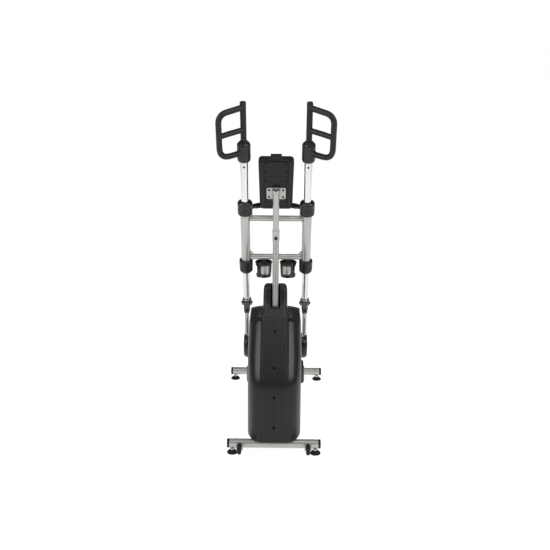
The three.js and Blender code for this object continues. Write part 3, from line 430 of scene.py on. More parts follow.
def between(nodes, value, low, high):
    """A Map Range node that turns the usual span of a noise into low to high."""
    node = nodes.new("ShaderNodeMapRange")
    node.inputs["From Min"].default_value = NOISE_LOW
    node.inputs["From Max"].default_value = NOISE_HIGH
    node.inputs["To Min"].default_value = low
    node.inputs["To Max"].default_value = high
    node.id_data.links.new(value, node.inputs["Value"])
    return node.outputs["Result"]


def finish(slot, name=None, settings=None):
    """The procedural material of a slot, made once.

    Base colour is the slot's colour times a broad noise, lightened on convex edges as a painted
    highlight; roughness and bump come from a fine noise; both read Object coordinates.
    """
    name = name or slot + "_finish"
    made = bpy.data.materials.get(name)
    if made:
        return made
    settings = settings or FINISHES[slot]
    colour = tuple(getattr(bpy.context.scene.climber_colours, slot)) + (1.0,)
    material = bpy.data.materials.new(name)
    material.use_nodes = True
    tree = material.node_tree
    nodes, links = tree.nodes, tree.links
    shader = nodes["Principled BSDF"]
    place = nodes.new("ShaderNodeTexCoord")
    mapping = nodes.new("ShaderNodeMapping")
    mapping.inputs["Scale"].default_value = settings.get("stretch", (1, 1, 1))
    links.new(place.outputs["Object"], mapping.inputs["Vector"])
    noises = []
    for scale, detail in ((settings["patch"], 5.0), (settings["grain"], 3.0)):
        noise = nodes.new("ShaderNodeTexNoise")
        noise.inputs["Scale"].default_value = scale
        noise.inputs["Detail"].default_value = detail
        links.new(mapping.outputs["Vector"], noise.inputs["Vector"])
        noises.append(noise.outputs["Fac"])
    patches, grain = noises
    tint = nodes.new("ShaderNodeMix")
    tint.data_type = "RGBA"
    tint.blend_type = "MULTIPLY"
    tint.inputs["Factor"].default_value = 1.0
    tint.inputs["A"].default_value = colour
    links.new(between(nodes, patches, 1 - settings["vary"], 1 + settings["vary"]), tint.inputs["B"])
    # Convex edges, found by Pointiness, are mixed towards a lighter colour: a painted highlight along edges.
    edge_highlight = nodes.new("ShaderNodeMapRange")
    edge_highlight.inputs["From Min"].default_value = EDGE_HIGHLIGHT_STARTS
    edge_highlight.inputs["From Max"].default_value = EDGE_HIGHLIGHT_FULL
    edge_highlight.inputs["To Max"].default_value = settings["edge"]
    links.new(nodes.new("ShaderNodeNewGeometry").outputs["Pointiness"], edge_highlight.inputs["Value"])
    edge_lightened = nodes.new("ShaderNodeMix")
    edge_lightened.data_type = "RGBA"
    edge_lightened.inputs["B"].default_value = tuple(min(1.0, 2.2 * c + 0.02) for c in colour[:3]) + (1.0,)
    links.new(edge_highlight.outputs["Result"], edge_lightened.inputs["Factor"])
    links.new(tint.outputs["Result"], edge_lightened.inputs["A"])
    links.new(edge_lightened.outputs["Result"], shader.inputs["Base Color"])
    rough = settings["rough"]
    links.new(between(nodes, grain, rough * 0.82, min(1.0, rough * 1.2)), shader.inputs["Roughness"])
    bump = nodes.new("ShaderNodeBump")
    bump.inputs["Distance"].default_value = settings["relief"] * MM
    bump.inputs["Strength"].default_value = 1.0
    links.new(grain, bump.inputs["Height"])
    links.new(bump.outputs["Normal"], shader.inputs["Normal"])
    shader.inputs["Metallic"].default_value = settings["metal"]
    shader.inputs["Specular IOR Level"].default_value = settings.get("gloss", 0.5)
    shader.inputs["Coat Weight"].default_value = settings.get("coat", 0.0)
    shader.inputs["Coat Roughness"].default_value = settings.get("coat_rough", 0.1)
    return material


# ------------------------------------------------------------------ placing pieces on the frame


def spot(x, y, z):
    """A point in metres, given in millimetres left of the middle, behind the pole bolts and above the floor."""
    return np.array((x, y, z), float) * MM + np.array((0.0, pole_point("left", 0.0)[1], 0.0))


def add(name, shapes, slot, node, instead=True, material=None, sharp=38, outward=True):
    """A piece that rides with a frame node, and stands for it unless instead is False."""
    body = frame["nodes"][node]["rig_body"]
    return make(name, shapes, material or finish(slot), body, node if instead else (), sharp, outward)


def repaint(slot, *nodes):
    """Gives frame nodes that stay in view the finish of their slot."""
    for node in nodes:
        piece = frame["nodes"][node]
        piece.data.materials.clear()
        piece.data.materials.append(finish(slot))


def hex_head(at, axis, radius, rise):
    """A hexagon bolt head standing on a thin round washer."""
    brim, sole = radius * 1.3, rise * 0.2
    washer = turned([(0, 0), (brim, 0), (brim, sole), (0, sole)], at, axis, 0.3 * MM, around=28, steps=2)
    head = turned([(0, sole), (radius, sole), (radius, rise * 0.92), (radius * 0.86, rise), (0, rise)], at, axis,
                  0.3 * MM, around=6, steps=2)
    return [washer, head]


def weld_bead(at, axis, radius, size):
    """A rounded ring of weld round a tube, rooted half a millimetre under its surface."""
    root = radius - 0.5 * MM
    profile = [(root, -size), (radius + size * 0.7, -size * 0.3), (radius + size * 0.6, size * 0.4), (root, size)]
    return turned(profile, at, axis, size * 0.5, around=48, steps=4)


# ------------------------------------------------------------------ base

BAND_INSET = 26 * MM
BAND_WIDTH = 16 * MM
CAP_GAP = 0.3 * MM
FLANGE_THICK = 5 * MM
FOOT_TOP, NUT_TOP, THREAD_PITCH = 22, 29.6, 0.75


def oval_run(x0, x1, centre, depth, height, corner, edge, steps=5):
    """A tube of rounded-rectangle section along X, its end rims rounded by edge."""
    outline = oblong(depth, height, corner, 10)
    return slab(outline, (0, centre[1], centre[2]), Y_AXIS, Z_AXIS, x0, x1, edge, steps)


def levelling_foot(at):
    """The rubber pad of a levelling foot, a dished disc with two rings: radius against height."""
    profile = [(0, 0), (29, 0), (31.5, 2.5), (31.5, 8), (29.5, 10), (25, 12), (23, 15.5), (18, 21), (13, FOOT_TOP),
               (0, FOOT_TOP)]
    return turned(np.array(profile) * MM, at, Z_AXIS, 1.6 * MM, around=72)


def foot_stud(at, top):
    """Hexagon nut on a threaded stud: the thread is a profile that goes in and out each pitch."""
    nut = turned(np.array([(0, FOOT_TOP), (12, FOOT_TOP), (12, 28.5), (10.6, NUT_TOP), (0, NUT_TOP)]) * MM, at,
                 Z_AXIS, 0.5 * MM, around=6, steps=2)
    pitch = np.arange(NUT_TOP, top / MM - 0.5, THREAD_PITCH)
    thread = np.stack([np.where(np.arange(len(pitch)) % 2, 5.4, 6.1), pitch], axis=1)
    thread = np.concatenate([[(0, 29.0)], thread, [(0, top / MM)]]) * MM
    return [nut, turned(thread, at, Z_AXIS, 0, around=24, steps=2)]


class CLIMBER_OT_base(bpy.types.Operator):
    """Stabilizer tubes with end caps and weld bands, the beam between them and the levelling feet."""

    bl_idname = "climber.base"
    bl_label = "Base"

    def execute(self, context):
        for end in ("front", "rear"):
            node = f"{end}_stabilizer"
            low, high = node_box(node)
            centre = (low + high) / 2
            depth, height = high[1] - low[1], high[2] - low[2]
            shapes = [oval_run(low[0], high[0], centre, depth, height, height * 0.47, 0.8 * MM)]
            for x in (low[0] + BAND_INSET, high[0] - BAND_INSET - BAND_WIDTH):
                shapes.append(oval_run(x, x + BAND_WIDTH, centre, depth + 1.6 * MM, height + 1.6 * MM,
                                       height * 0.48, 0.7 * MM))
            add(node + "_tube", shapes, "frame_paint", node)
            for side_name, side in SIDES:
                cap = f"{end}_end_cap_{side_name}"
                cap_low, cap_high = node_box(cap)
                x0, x1 = (high[0] + CAP_GAP, cap_high[0]) if side > 0 else (cap_low[0], low[0] - CAP_GAP)
                shell = oval_run(x0, x1, centre, depth + 0.8 * MM, height + 0.8 * MM, height * 0.47, 4 * MM, 7)
                add(cap + "_cover", [shell], "black_plastic", cap)
                foot = f"{end}_leveller_{side_name}"
                at = middle(foot) * (1, 1, 0)
                add(foot + "_pad", [levelling_foot(at)], "rubber", foot)
                add(foot + "_stud", foot_stud(at, node_box(foot)[1][2]), "zinc", foot, instead=False)
        low, high = node_box("main_beam")
        centre = (low + high) / 2
        outline = oblong(high[2] - low[2], high[0] - low[0], 7 * MM, 6)
        beam = [slab(outline, (0, 0, centre[2]), Z_AXIS, X_AXIS, low[1], high[1], 0.5 * MM, 3)]
        plate = oblong(high[2] - low[2] - 6 * MM, high[0] - low[0] + 34 * MM, 8 * MM, 6)
        for y0, y1 in ((low[1], low[1] + FLANGE_THICK), (high[1] - FLANGE_THICK, high[1])):
            beam.append(slab(plate, (0, 0, centre[2]), Z_AXIS, X_AXIS, y0, y1, 0.8 * MM, 3))
        add("main_beam_tube", beam, "frame_paint", "main_beam")
        bolts = []
        for x in (-39 * MM, 39 * MM):
            bolts += hex_head((x, high[1] - FLANGE_THICK, centre[2]), -Y_AXIS, 6.5 * MM, 5 * MM)
            bolts += hex_head((x, low[1] + FLANGE_THICK, centre[2]), Y_AXIS, 6.5 * MM, 5 * MM)
        add("beam_bolts", bolts, "dark_steel", "main_beam", instead=False)
        return {"FINISHED"}


# ------------------------------------------------------------------ transport wheels

EAR_OUTSIDE = 16.2 * MM
EAR_THICK = 3.6 * MM


class CLIMBER_OT_wheels(bpy.types.Operator):
    """Two rubber wheels, each a turned hub, web and tyre, between the ears of their forks."""

    bl_idname = "climber.wheels"
    bl_label = "Transport Wheels"

    def execute(self, context):
        tyre = np.array([(6.2, -10.5), (12, -10.5), (14, -7), (21, -6), (24, -9), (27, -11), (30.5, -8.5), (32.5, -3),
                         (32.5, 3), (30.5, 8.5), (27, 11), (24, 9), (21, 6), (14, 7), (12, 10.5), (6.2, 10.5),
                         (6.2, -10.5)]) * MM
        for side_name, _ in SIDES:
            wheel = f"transport_wheel_{side_name}"
            hub = middle(wheel)
            add(wheel + "_tyre", [turned(tyre, hub, X_AXIS, 2 * MM, around=80)], "rubber", wheel)
            fork = f"wheel_fork_{side_name}"
            high = node_box(fork)[1]
            back = high[1] - hub[1]
            ear = rounded_line([(back, -15 * MM), (back, 15 * MM), (2 * MM, 13 * MM), (-13 * MM, 8 * MM),
                                (-13 * MM, -8 * MM), (2 * MM, -13 * MM)], 7 * MM, 6, closed=True)
            shapes = []
            for x in (-EAR_OUTSIDE, EAR_OUTSIDE - EAR_THICK):
                shapes.append(slab(ear, hub, Y_AXIS, Z_AXIS, x, x + EAR_THICK, 0.8 * MM, 3))
            web = oblong(38 * MM, 30 * MM, 3 * MM, 5)
            shapes.append(slab(web, (hub[0], high[1], hub[2]), X_AXIS, Z_AXIS, 0.0, 3 * MM, 0.8 * MM, 3))
            add(fork + "_ears", shapes, "frame_paint", fork)
            axle = [turned(np.array([(0, -16), (5, -16), (5, 16), (0, 16)]) * MM, hub, X_AXIS, 0.3 * MM, around=32)]
            axle += hex_head(hub + X_AXIS * EAR_OUTSIDE, X_AXIS, 6 * MM, 3.5 * MM)
            axle += hex_head(hub - X_AXIS * EAR_OUTSIDE, -X_AXIS, 6 * MM, 3.5 * MM)
            add(fork + "_axle", axle, "zinc", fork, instead=False)
        return {"FINISHED"}


# ------------------------------------------------------------------ mast

MAST_RADIUS = 19 * MM
MAST_FOOT_Y, MAST_FOOT_HEIGHT = -560, 84
MAST_BEND_Y, MAST_BEND_HEIGHT = -219.7, 1196
MAST_FOOT = spot(0, MAST_FOOT_Y, MAST_FOOT_HEIGHT)
MAST_BEND = spot(0, MAST_BEND_Y, MAST_BEND_HEIGHT)
STAY_RADIUS = 12.5 * MM


def along_mast(length):
    """A point on the upper mast's axis, measured up from its joint."""
    return MAST_BEND + LEAN * length


class CLIMBER_OT_mast(bpy.types.Operator):
    """Lower mast with its socket and stay, upper mast with its open saddle, and the joint's bolt."""

    bl_idname = "climber.mast"
    bl_label = "Mast"

    def execute(self, context):
        weld = context.scene.climber_sizes.weld
        run = MAST_BEND - MAST_FOOT
        down = -run / np.linalg.norm(run)
        low_cross = middle("lower_cross_tube")
        stay_y = MAST_BEND[1] + (low_cross[2] - MAST_BEND[2]) * run[1] / run[2]
        stay_at = np.array((0, stay_y, low_cross[2]))
        lower = [
            swept(straight(MAST_FOOT, MAST_BEND, 3), X_AXIS, MAST_RADIUS, 56),
            turned(np.array([(18, -12), (20.4, -10), (21.8, -6), (21.8, 62), (21.3, 66), (19.2, 66)]) * MM, MAST_BEND,
                   LEAN, 1.2 * MM, around=64),
            swept(straight(stay_at, low_cross, 3), X_AXIS, STAY_RADIUS, 40),
            weld_bead(MAST_BEND + down * 8 * MM, -down, MAST_RADIUS + 0.5 * MM, weld),
            weld_bead(stay_at + Y_AXIS * MAST_RADIUS, Y_AXIS, STAY_RADIUS + 0.3 * MM, weld),
            weld_bead(low_cross - Y_AXIS * 18 * MM, Y_AXIS, STAY_RADIUS + 0.3 * MM, weld),
        ]
        foot = oblong(76 * MM, 54 * MM, 6 * MM, 5)
        lower.append(slab(foot, MAST_FOOT * (1, 1, 0), Y_AXIS, X_AXIS, -88.5 * MM, -83.8 * MM, 0.8 * MM, 3))
        add("lower_mast_tube", lower, "frame_paint", "lower_mast")
        saddle = np.array([(0, 4), (19, 6), (19, 292), (20, 304), (24, 322), (25.5, 330), (24, 331.5), (22, 324),
                           (18, 300), (17, 270), (0, 268)]) * MM
        upper = turned(saddle, MAST_BEND, LEAN, 1.5 * MM, around=64)
        add("upper_mast_tube", [upper], "frame_paint", "upper_mast")
        bolts = [cap_screw(along_mast(20 * MM) + side * LEAN_BACK * 20.8 * MM, side * LEAN_BACK, 11 * MM, 5 * MM)
                 for side in (-1, 1)]
        add("mast_joint_bolt", bolts, "black_plastic", "lower_mast", instead=False)
        plug = turned(np.array([(0, 300), (17.5, 300), (18.5, 312), (0, 312)]) * MM, MAST_BEND, LEAN, 0.5 * MM,
                      around=48)
        add("mast_plug", [plug], "black_plastic", "upper_mast", instead=False)
        return {"FINISHED"}


# ------------------------------------------------------------------ console

CONSOLE_HEIGHT = 1474
CONSOLE_AT = along_mast((CONSOLE_HEIGHT - MAST_BEND_HEIGHT) / LEAN[2] * MM)
CONSOLE_LOW, CONSOLE_HIGH = -107.0, 210.0
CONSOLE_HALF, CONSOLE_FLARE = 95, 7
BORDER_FRONT = 24.4
SCREEN_FRONT = 84.4


def console_half(z):
    """Half the console's width at z millimetres above its bracket, growing evenly with height."""
    return CONSOLE_HALF + (z - CONSOLE_LOW) / (CONSOLE_HIGH - CONSOLE_LOW) * CONSOLE_FLARE


def console_outline(low=CONSOLE_LOW, high=CONSOLE_HIGH, margin=0.0, corner=24.0):
    """The console's outline, up the lean first and then across, wider at the top."""
    a, b = console_half(low) - margin, console_half(high) - margin
    return rounded_line(np.array([(low, -a), (high, -b), (high, b), (low, a)]) * MM, corner * MM, 8, closed=True)


def console_slab(outline, y0, y1, edge, steps=4):
    """A plate of the console between two distances behind the mast's axis."""
    if np.sum(np.cross(outline, np.roll(outline, -1, axis=0))) < 0:
        outline = outline[::-1]
    return slab(outline, CONSOLE_AT, LEAN, X_AXIS, y0 * MM, y1 * MM, edge * MM, steps)


def console_line(line, y):
    """A line of (up the lean, across) put y millimetres behind the mast's axis."""
    return CONSOLE_AT + line[:, :1] * LEAN + line[:, 1:] * X_AXIS + LEAN_BACK * y * MM


def console_shell(levels):
    """A closed shell through rings of the console's outline, each (millimetres inset, millimetres back)."""
    outer = console_outline()
    return skin(np.stack([console_line(inset(outer, amount * MM), y) for amount, y in levels]))


def console_band(outer, inner, y, rise):
    """A raised band between two outlines with the same number of points, on the console's front.

    Each of its lines is outer * (1 - share) + inner * share, lifted by a part of the rise.
    """
    rows = []
    for share, up in ((0.0, 0.0), (0.0, 0.55), (0.06, 1.0), (0.94, 1.0), (1.0, 0.55), (1.0, 0.0)):
        rows.append(console_line(outer * (1 - share) + inner * share, y - up * rise))
    return skin(np.stack(rows), capped=False)


def console_screws(places, head, rise, y):
    """Cap screws that face the front, given as (across, up) in millimetres."""
    return [cap_screw(CONSOLE_AT + (X_AXIS * x + LEAN * z + LEAN_BACK * y) * MM, -LEAN_BACK, head, rise)
            for x, z in places]


class CLIMBER_OT_console(bpy.types.Operator):
    """Console bracket, back and face shells, panels, band, screws, screen and keys."""

    bl_idname = "climber.console"
    bl_label = "Console"

    def execute(self, context):
        head = context.scene.climber_sizes.screw_head
        plate = console_slab(oblong(72 * MM, 110 * MM, 11 * MM, 8), 19.3, 22.3, 0.8)
        collar = console_slab(oblong(78 * MM, 40 * MM, 6 * MM, 5), 14.0, 19.6, 1.2)
        add("console_bracket_plate", [plate, collar], "frame_paint", "console_bracket")
        places = [(x, z) for x in (-41, 41) for z in (-22, 22)]
        add("console_bracket_bolts", console_screws(places, 6 * MM, 4 * MM, 19.5), "black_plastic", "console_bracket",
            instead=False)

        shell = console_shell([(16, 23.4), (14.5, 23.0), (11, 23.4), (6, 25.2), (2.2, 28.6), (0.4, 33), (0, 38),
                               (0, 56.2), (0.6, 56.6)])
        tab = console_slab(oblong(38 * MM, 64 * MM, 6 * MM, 8, (217 * MM, 0)), 30, 54, 3, 6)
        ledge = console_slab(oblong(12 * MM, 94 * MM, 5 * MM, 6, (207 * MM, 0)), 29, 55, 2.5, 5)
        add("console_back_shell", [shell, tab, ledge], "console_plastic", "console_back")
        rim = console_outline(CONSOLE_LOW + 9, CONSOLE_HIGH - 9, 9, 18)
        opening = console_outline(CONSOLE_LOW + 22, CONSOLE_HIGH - 13, 30, 12)
        add("console_back_border", [console_band(rim, opening, BORDER_FRONT, 3.4)], "console_plastic", "console_back",
            instead=False, material=finish("console_plastic", "console_border", GLOSSY_BORDER))
        panels = []
        for low, high in ((-84, 105.5), (108.5, 196)):
            panels.append(console_slab(console_outline(low, high, 31.5, 6), 22.0, 24, 0.8))
        add("console_back_panels", panels, "console_plastic", "console_back", instead=False)
        places = [(x, z) for z in (78, 133, 190) for x in (-61, 61)] + [(-60, -56), (60, -56)]
        # These screws take the reflection-free copy of black plastic: painted shade of their recesses.
        add("console_back_screws", console_screws(places, head, 1.4 * MM, 22.3), "black_plastic", "console_back",
            instead=False, material=finish("black_plastic", "dull_screws", DULL_SCREWS_PAINTED_SHADE))

        shell = console_shell([(0.6, 56.9), (0, 57.4), (0, 74), (0.8, 79), (3, 82.6), (7, 84.6), (11, 84.9)])
        rest = console_slab(oblong(8 * MM, 170 * MM, 3 * MM, 5, (40 * MM, 0)), 83, 94, 2.5, 5)
        add("console_face_shell", [shell, rest], "console_plastic", "console_face")
        screen = console_slab(oblong(112 * MM, 146 * MM, 6 * MM, 6, (116 * MM, 0)), 84.2, 85.6, 0.6)
        add("console_screen", [screen], "screen_glass", "console_face", instead=False)
        keys = []
        for z, size in ((10, 18), (-18, 15), (-46, 15)):
            for x in (-56, -28, 0, 28, 56):
                key = oblong(size * MM, 20 * MM, 5 * MM, 6, (z * MM, x * MM))
                keys.append(console_slab(key, SCREEN_FRONT, SCREEN_FRONT + 2, 0.9))
        add("console_keys", keys, "grip_rubber", "console_face", instead=False)
        return {"FINISHED"}


# ------------------------------------------------------------------ guides, collars and cross tubes

GUIDE_RADIUS = 28.5 * MM
GUIDE_BORE = 26.2 * MM
CROSS_RADIUS = 17.5 * MM
UPPER_COLLAR_RADIUS, LOWER_COLLAR_RADIUS = 44.0, 40.5


def split_bush(at, axis, r, horn):
    """A collar of two halves with outer radius r: a turned profile with a crease, and seams front and rear.

    The seam takes seam_depth off the radius of every point whose angle lies at the seam. A
    collar with horns ends in a plain rim; the other one has a lip.
    """
    profile = [(28.7, -43), (r - 6, -43), (r - 2, -41), (r, -36), (r, -3), (r - 1.6, -1), (r - 1.6, 1), (r, 3),
               (r, 30), (r - 1.5, 35), (r - 5, 39)]
    if horn:
        profile += [(r - 8, 43), (29.5, 43), (28, 36), (23.3, 30), (23.3, 1), (28.7, 1), (28.7, -43)]
    else:
        profile += [(r - 8, 41), (r - 10.5, 41), (r - 12, 43), (30, 43), (27, 40), (23.3, 36), (23.3, 1), (28.7, 1),
                    (28.7, -43)]
    points, faces = turned(np.array(profile) * MM, at, axis, 1.4 * MM, around=144, steps=4)
    axis = np.asarray(axis, float)
    height = (points - at) @ axis
    arm = points - at - height[:, None] * axis
    radius = np.linalg.norm(arm, axis=1)
    sideways = np.abs(arm @ X_AXIS)
    depth = bpy.context.scene.climber_sizes.seam_depth
    seam = (sideways < 1.0 * MM) & (radius > 30 * MM)
    points = points - arm / np.maximum(radius, 1e-6)[:, None] * (seam * depth)[:, None]
    return points, faces


def side_horn(base, axis, side):
    """A raised ear on a collar's flank, where the guide tube enters: a rounded plate."""
    outline = rounded_line(np.array([(-13, -40), (13, -40), (10, 2), (-10, 2)]) * MM, 7 * MM, 7, closed=True)
    across = np.cross(axis, X_AXIS) * side
    return slab(outline, base, across, axis, -1 * MM, 7.6 * MM, 2.4 * MM, 5)


class CLIMBER_OT_guides(bpy.types.Operator):
    """Guide tubes, their split collars with clamp screws, and the two cross tubes with welds."""

    bl_idname = "climber.guides"
    bl_label = "Guides"

    def execute(self, context):
        weld = context.scene.climber_sizes.weld
        low, high = along_pole("guide_tube_left", GUIDE_RADIUS)
        for side_name, _ in SIDES:
            node = f"guide_tube_{side_name}"
            profile = [(GUIDE_BORE, low), (GUIDE_RADIUS, low), (GUIDE_RADIUS, high), (GUIDE_BORE, high),
                       (GUIDE_BORE, low)]
            tube = turned(profile, pole_point(side_name, 0.0), LEAN, 0.5 * MM, around=72, steps=3)
            add(node + "_shell", [tube], "frame_paint", node)
            for level, centre, axis, radius in (("upper", high, LEAN, UPPER_COLLAR_RADIUS),
                                                ("lower", low, -LEAN, LOWER_COLLAR_RADIUS)):
                collar = f"{level}_collar_{side_name}"
                place = pole_point(side_name, centre)
                shapes = [split_bush(place, axis, radius, level == "lower")]
                if level == "lower":
                    shapes += [side_horn(place + X_AXIS * x * 33 * MM, axis, x) for x in (-1, 1)]
                add(collar + "_bush", shapes, "black_plastic", collar)
                screws = []
                for turn in (-58, -122, 58, 122):
                    out = math.cos(math.radians(turn)) * X_AXIS + math.sin(math.radians(turn)) * LEAN_BACK
                    for up in (-20, 19):
                        screws.append(cap_screw(place + axis * up * MM + out * (radius - 0.8) * MM, out, 4.2 * MM,
                                                2 * MM))
                add(collar + "_screws", screws, "black_plastic", collar, instead=False)
        reach = abs(pole_point("left", 0.0)[0]) - GUIDE_RADIUS
        for name in ("lower_cross_tube", "upper_cross_tube"):
            at = middle(name)
            shapes = [swept(straight(at - X_AXIS * (reach + 1 * MM), at + X_AXIS * (reach + 1 * MM), 3), LEAN_BACK,
                            CROSS_RADIUS, 56)]
            for side in (-1, 1):
                shapes.append(weld_bead(at + X_AXIS * side * (reach - 0.5 * MM), X_AXIS * side,
                                        CROSS_RADIUS + 0.3 * MM, weld))
                gusset = np.array([(reach - 26 * MM, 0), (reach + 1 * MM, 0), (reach + 1 * MM, 30 * MM),
                                   (reach - 3 * MM, 30 * MM)]) * (side, 1)
                gusset = gusset if side > 0 else gusset[::-1]
                shapes.append(slab(gusset, at + LEAN * 13 * MM, X_AXIS, LEAN, -2 * MM, 2 * MM, 0.5 * MM, 2))
            add(name + "_bar", shapes, "frame_paint", name)
        return {"FINISHED"}


BAR_POINTS = 71
BAR_SHARE = 0.8
BAR_BOW = (1.0, 0.042, -3.077, 2.035)
FOAM_THICK = 1.8 * MM


class CLIMBER_OT_handlebar(bpy.types.Operator):
    """Fixed bar from collar to collar, bowed towards the user, with two foam sleeves.

    Its bow is a sum of even powers of the share of the way from the middle to a pole.
    """

    bl_idname = "climber.handlebar"
    bl_label = "Fixed Handlebar"

    def execute(self, context):
        low, high = node_box("fixed_handlebar")
        radius = (high[2] - low[2]) / 2
        centre_z = (low[2] + high[2]) / 2
        ends_y = pole_point("left", along_pole("guide_tube_left", GUIDE_RADIUS)[1])[1]
        bow = high[1] - radius - ends_y
        reach = pole_point("left", 0.0)[0]
        share = np.linspace(-BAR_SHARE, BAR_SHARE, BAR_POINTS)
        shape = sum(part * share ** (2 * power) for power, part in enumerate(BAR_BOW))
        path = np.stack([share * reach, ends_y + bow * shape, np.full(BAR_POINTS, centre_z)], axis=1)
        add("handlebar_bar", [swept(path, Z_AXIS, radius - FOAM_THICK, 40)], "black_plastic", "fixed_handlebar")
        foam = [swept(path[first:last], Z_AXIS, radius, 40, tip=3 * MM) for first, last in ((6, 30), (41, 65))]
        add("handlebar_foam", foam, "grip_rubber", "fixed_handlebar", instead=False)
        return {"FINISHED"}


# ------------------------------------------------------------------ cup holders


WINDOW_HALF_TURN = 0.8
WINDOW_MIDDLE, WINDOW_HALF_RISE = 0.47, 0.33
CUP_DROP = 18 * MM


def cup_wall(at, radius, height, towards):
    """The side of a cup, radius falling evenly towards its foot, with windows in front and outside.

    A window takes out the faces for which (angle / half width)^4 + (rise / half height)^4 is
    below one, measured from the window's centre.
    """
    rows, columns = 49, 144
    rise = np.linspace(0, 1, rows)
    angle = np.linspace(0, 2 * math.pi, columns, endpoint=False)
    taper = radius * (0.86 + 0.09 * rise**0.7)
    grid = np.empty((rows, columns, 3))
    grid[..., 0] = at[0] + taper[:, None] * np.cos(angle)
    grid[..., 1] = at[1] + taper[:, None] * np.sin(angle)
    grid[..., 2] = at[2] + (rise * height)[:, None]
    points, _ = skin(grid, capped=False)
    faces = grid_faces(rows, columns, True)
    face_rise = (faces[:, 0] // columns + 0.5) / (rows - 1)
    face_angle = (faces[:, 0] % columns + 0.5) * 2 * math.pi / columns
    keep = np.ones(len(faces), bool)
    for centre in (-math.pi / 2 - 0.35 * towards, -math.pi / 2 + 1.75 * towards):
        off = (face_angle - centre + math.pi) % (2 * math.pi) - math.pi
        keep &= (off / WINDOW_HALF_TURN) ** 4 + ((face_rise - WINDOW_MIDDLE) / WINDOW_HALF_RISE) ** 4 > 1
    return points, faces[keep].tolist()


class CLIMBER_OT_cups(bpy.types.Operator):
    """Two cup holders with a thick rim, side windows, a base tray and a clamp to the cross tube."""

    bl_idname = "climber.cups"
    bl_label = "Cup Holders"

    def execute(self, context):
        for side_name, side in SIDES:
            node = f"cup_holder_{side_name}"
            low, high = node_box(node)
            cross = middle("lower_cross_tube")
            radius = (high[0] - low[0]) / 2
            at = np.array(((low[0] + high[0]) / 2, high[1] - radius, low[2]))
            rim_top = cross[2] - CROSS_RADIUS - CUP_DROP
            height = rim_top - low[2]
            wall = cup_wall(at + Z_AXIS * 8 * MM, radius, height - 14 * MM, side)
            give_wall(add(node + "_wall", [wall], "black_plastic", node), 2.6 * MM)
            r = radius / MM
            ring = np.array([(r - 8, 0), (r - 3, -1), (r, -4), (r, -12), (r - 2, -15), (r - 7, -16), (r - 9.5, -12),
                             (r - 9.5, -3), (r - 8, 0)]) * MM
            tray = np.array([(0, 0), (r - 12, 0), (r - 8, 2), (r - 6, 9), (r - 8, 11), (r - 11, 5), (r - 13, 4),
                             (0, 4)]) * MM
            band = np.array([(r - 4.4, 0), (r - 3.4, 0.8), (r - 3.4, 3), (r - 4.6, 3.8)]) * MM
            shapes = [turned(ring, at + Z_AXIS * height, Z_AXIS, 2.2 * MM, around=112),
                      turned(tray, at, Z_AXIS, 1.6 * MM, around=112),
                      turned(band, at + Z_AXIS * (height - 22 * MM), Z_AXIS, 0.6 * MM, around=112)]
            clamp = oblong(34 * MM, 8 * MM, 3 * MM, 5)
            shapes.append(slab(clamp, (at[0], cross[1], rim_top), X_AXIS, Y_AXIS, -14 * MM, 17 * MM, 1.2 * MM))
            tongue = oblong(34 * MM, 12 * MM, 3 * MM, 5, (0, at[1] - radius + 4 * MM - cross[1]))
            shapes.append(slab(tongue, (at[0], cross[1], rim_top), X_AXIS, Y_AXIS, -13 * MM, -2 * MM, 1.2 * MM))
            add(node + "_rim", shapes, "black_plastic", node, instead=False,
                material=finish("console_plastic", "console_border", GLOSSY_BORDER))
            liner = np.array([(r - 13, 14), (r - 11.6, 14), (r - 10.2, height / MM - 20),
                              (r - 11.6, height / MM - 20), (r - 13, 14)]) * MM
            add(node + "_liner", [turned(liner, at, Z_AXIS, 0.3 * MM, around=96)], "frame_paint", node, instead=False)
            outs = [np.array((math.cos(a), math.sin(a), 0)) for a in np.radians([-150, -110, -70, -30])]
            screws = [cap_screw(at + out * (radius - 7.4 * MM) + Z_AXIS * 5.5 * MM, out, 3.4 * MM, 1.6 * MM)
                      for out in outs]
            add(node + "_screws", screws, "zinc", node, instead=False)
        return {"FINISHED"}


# ------------------------------------------------------------------ poles and grips

POLE_RADIUS = 22.25 * MM
HOUSING_RADIUS = 38.5


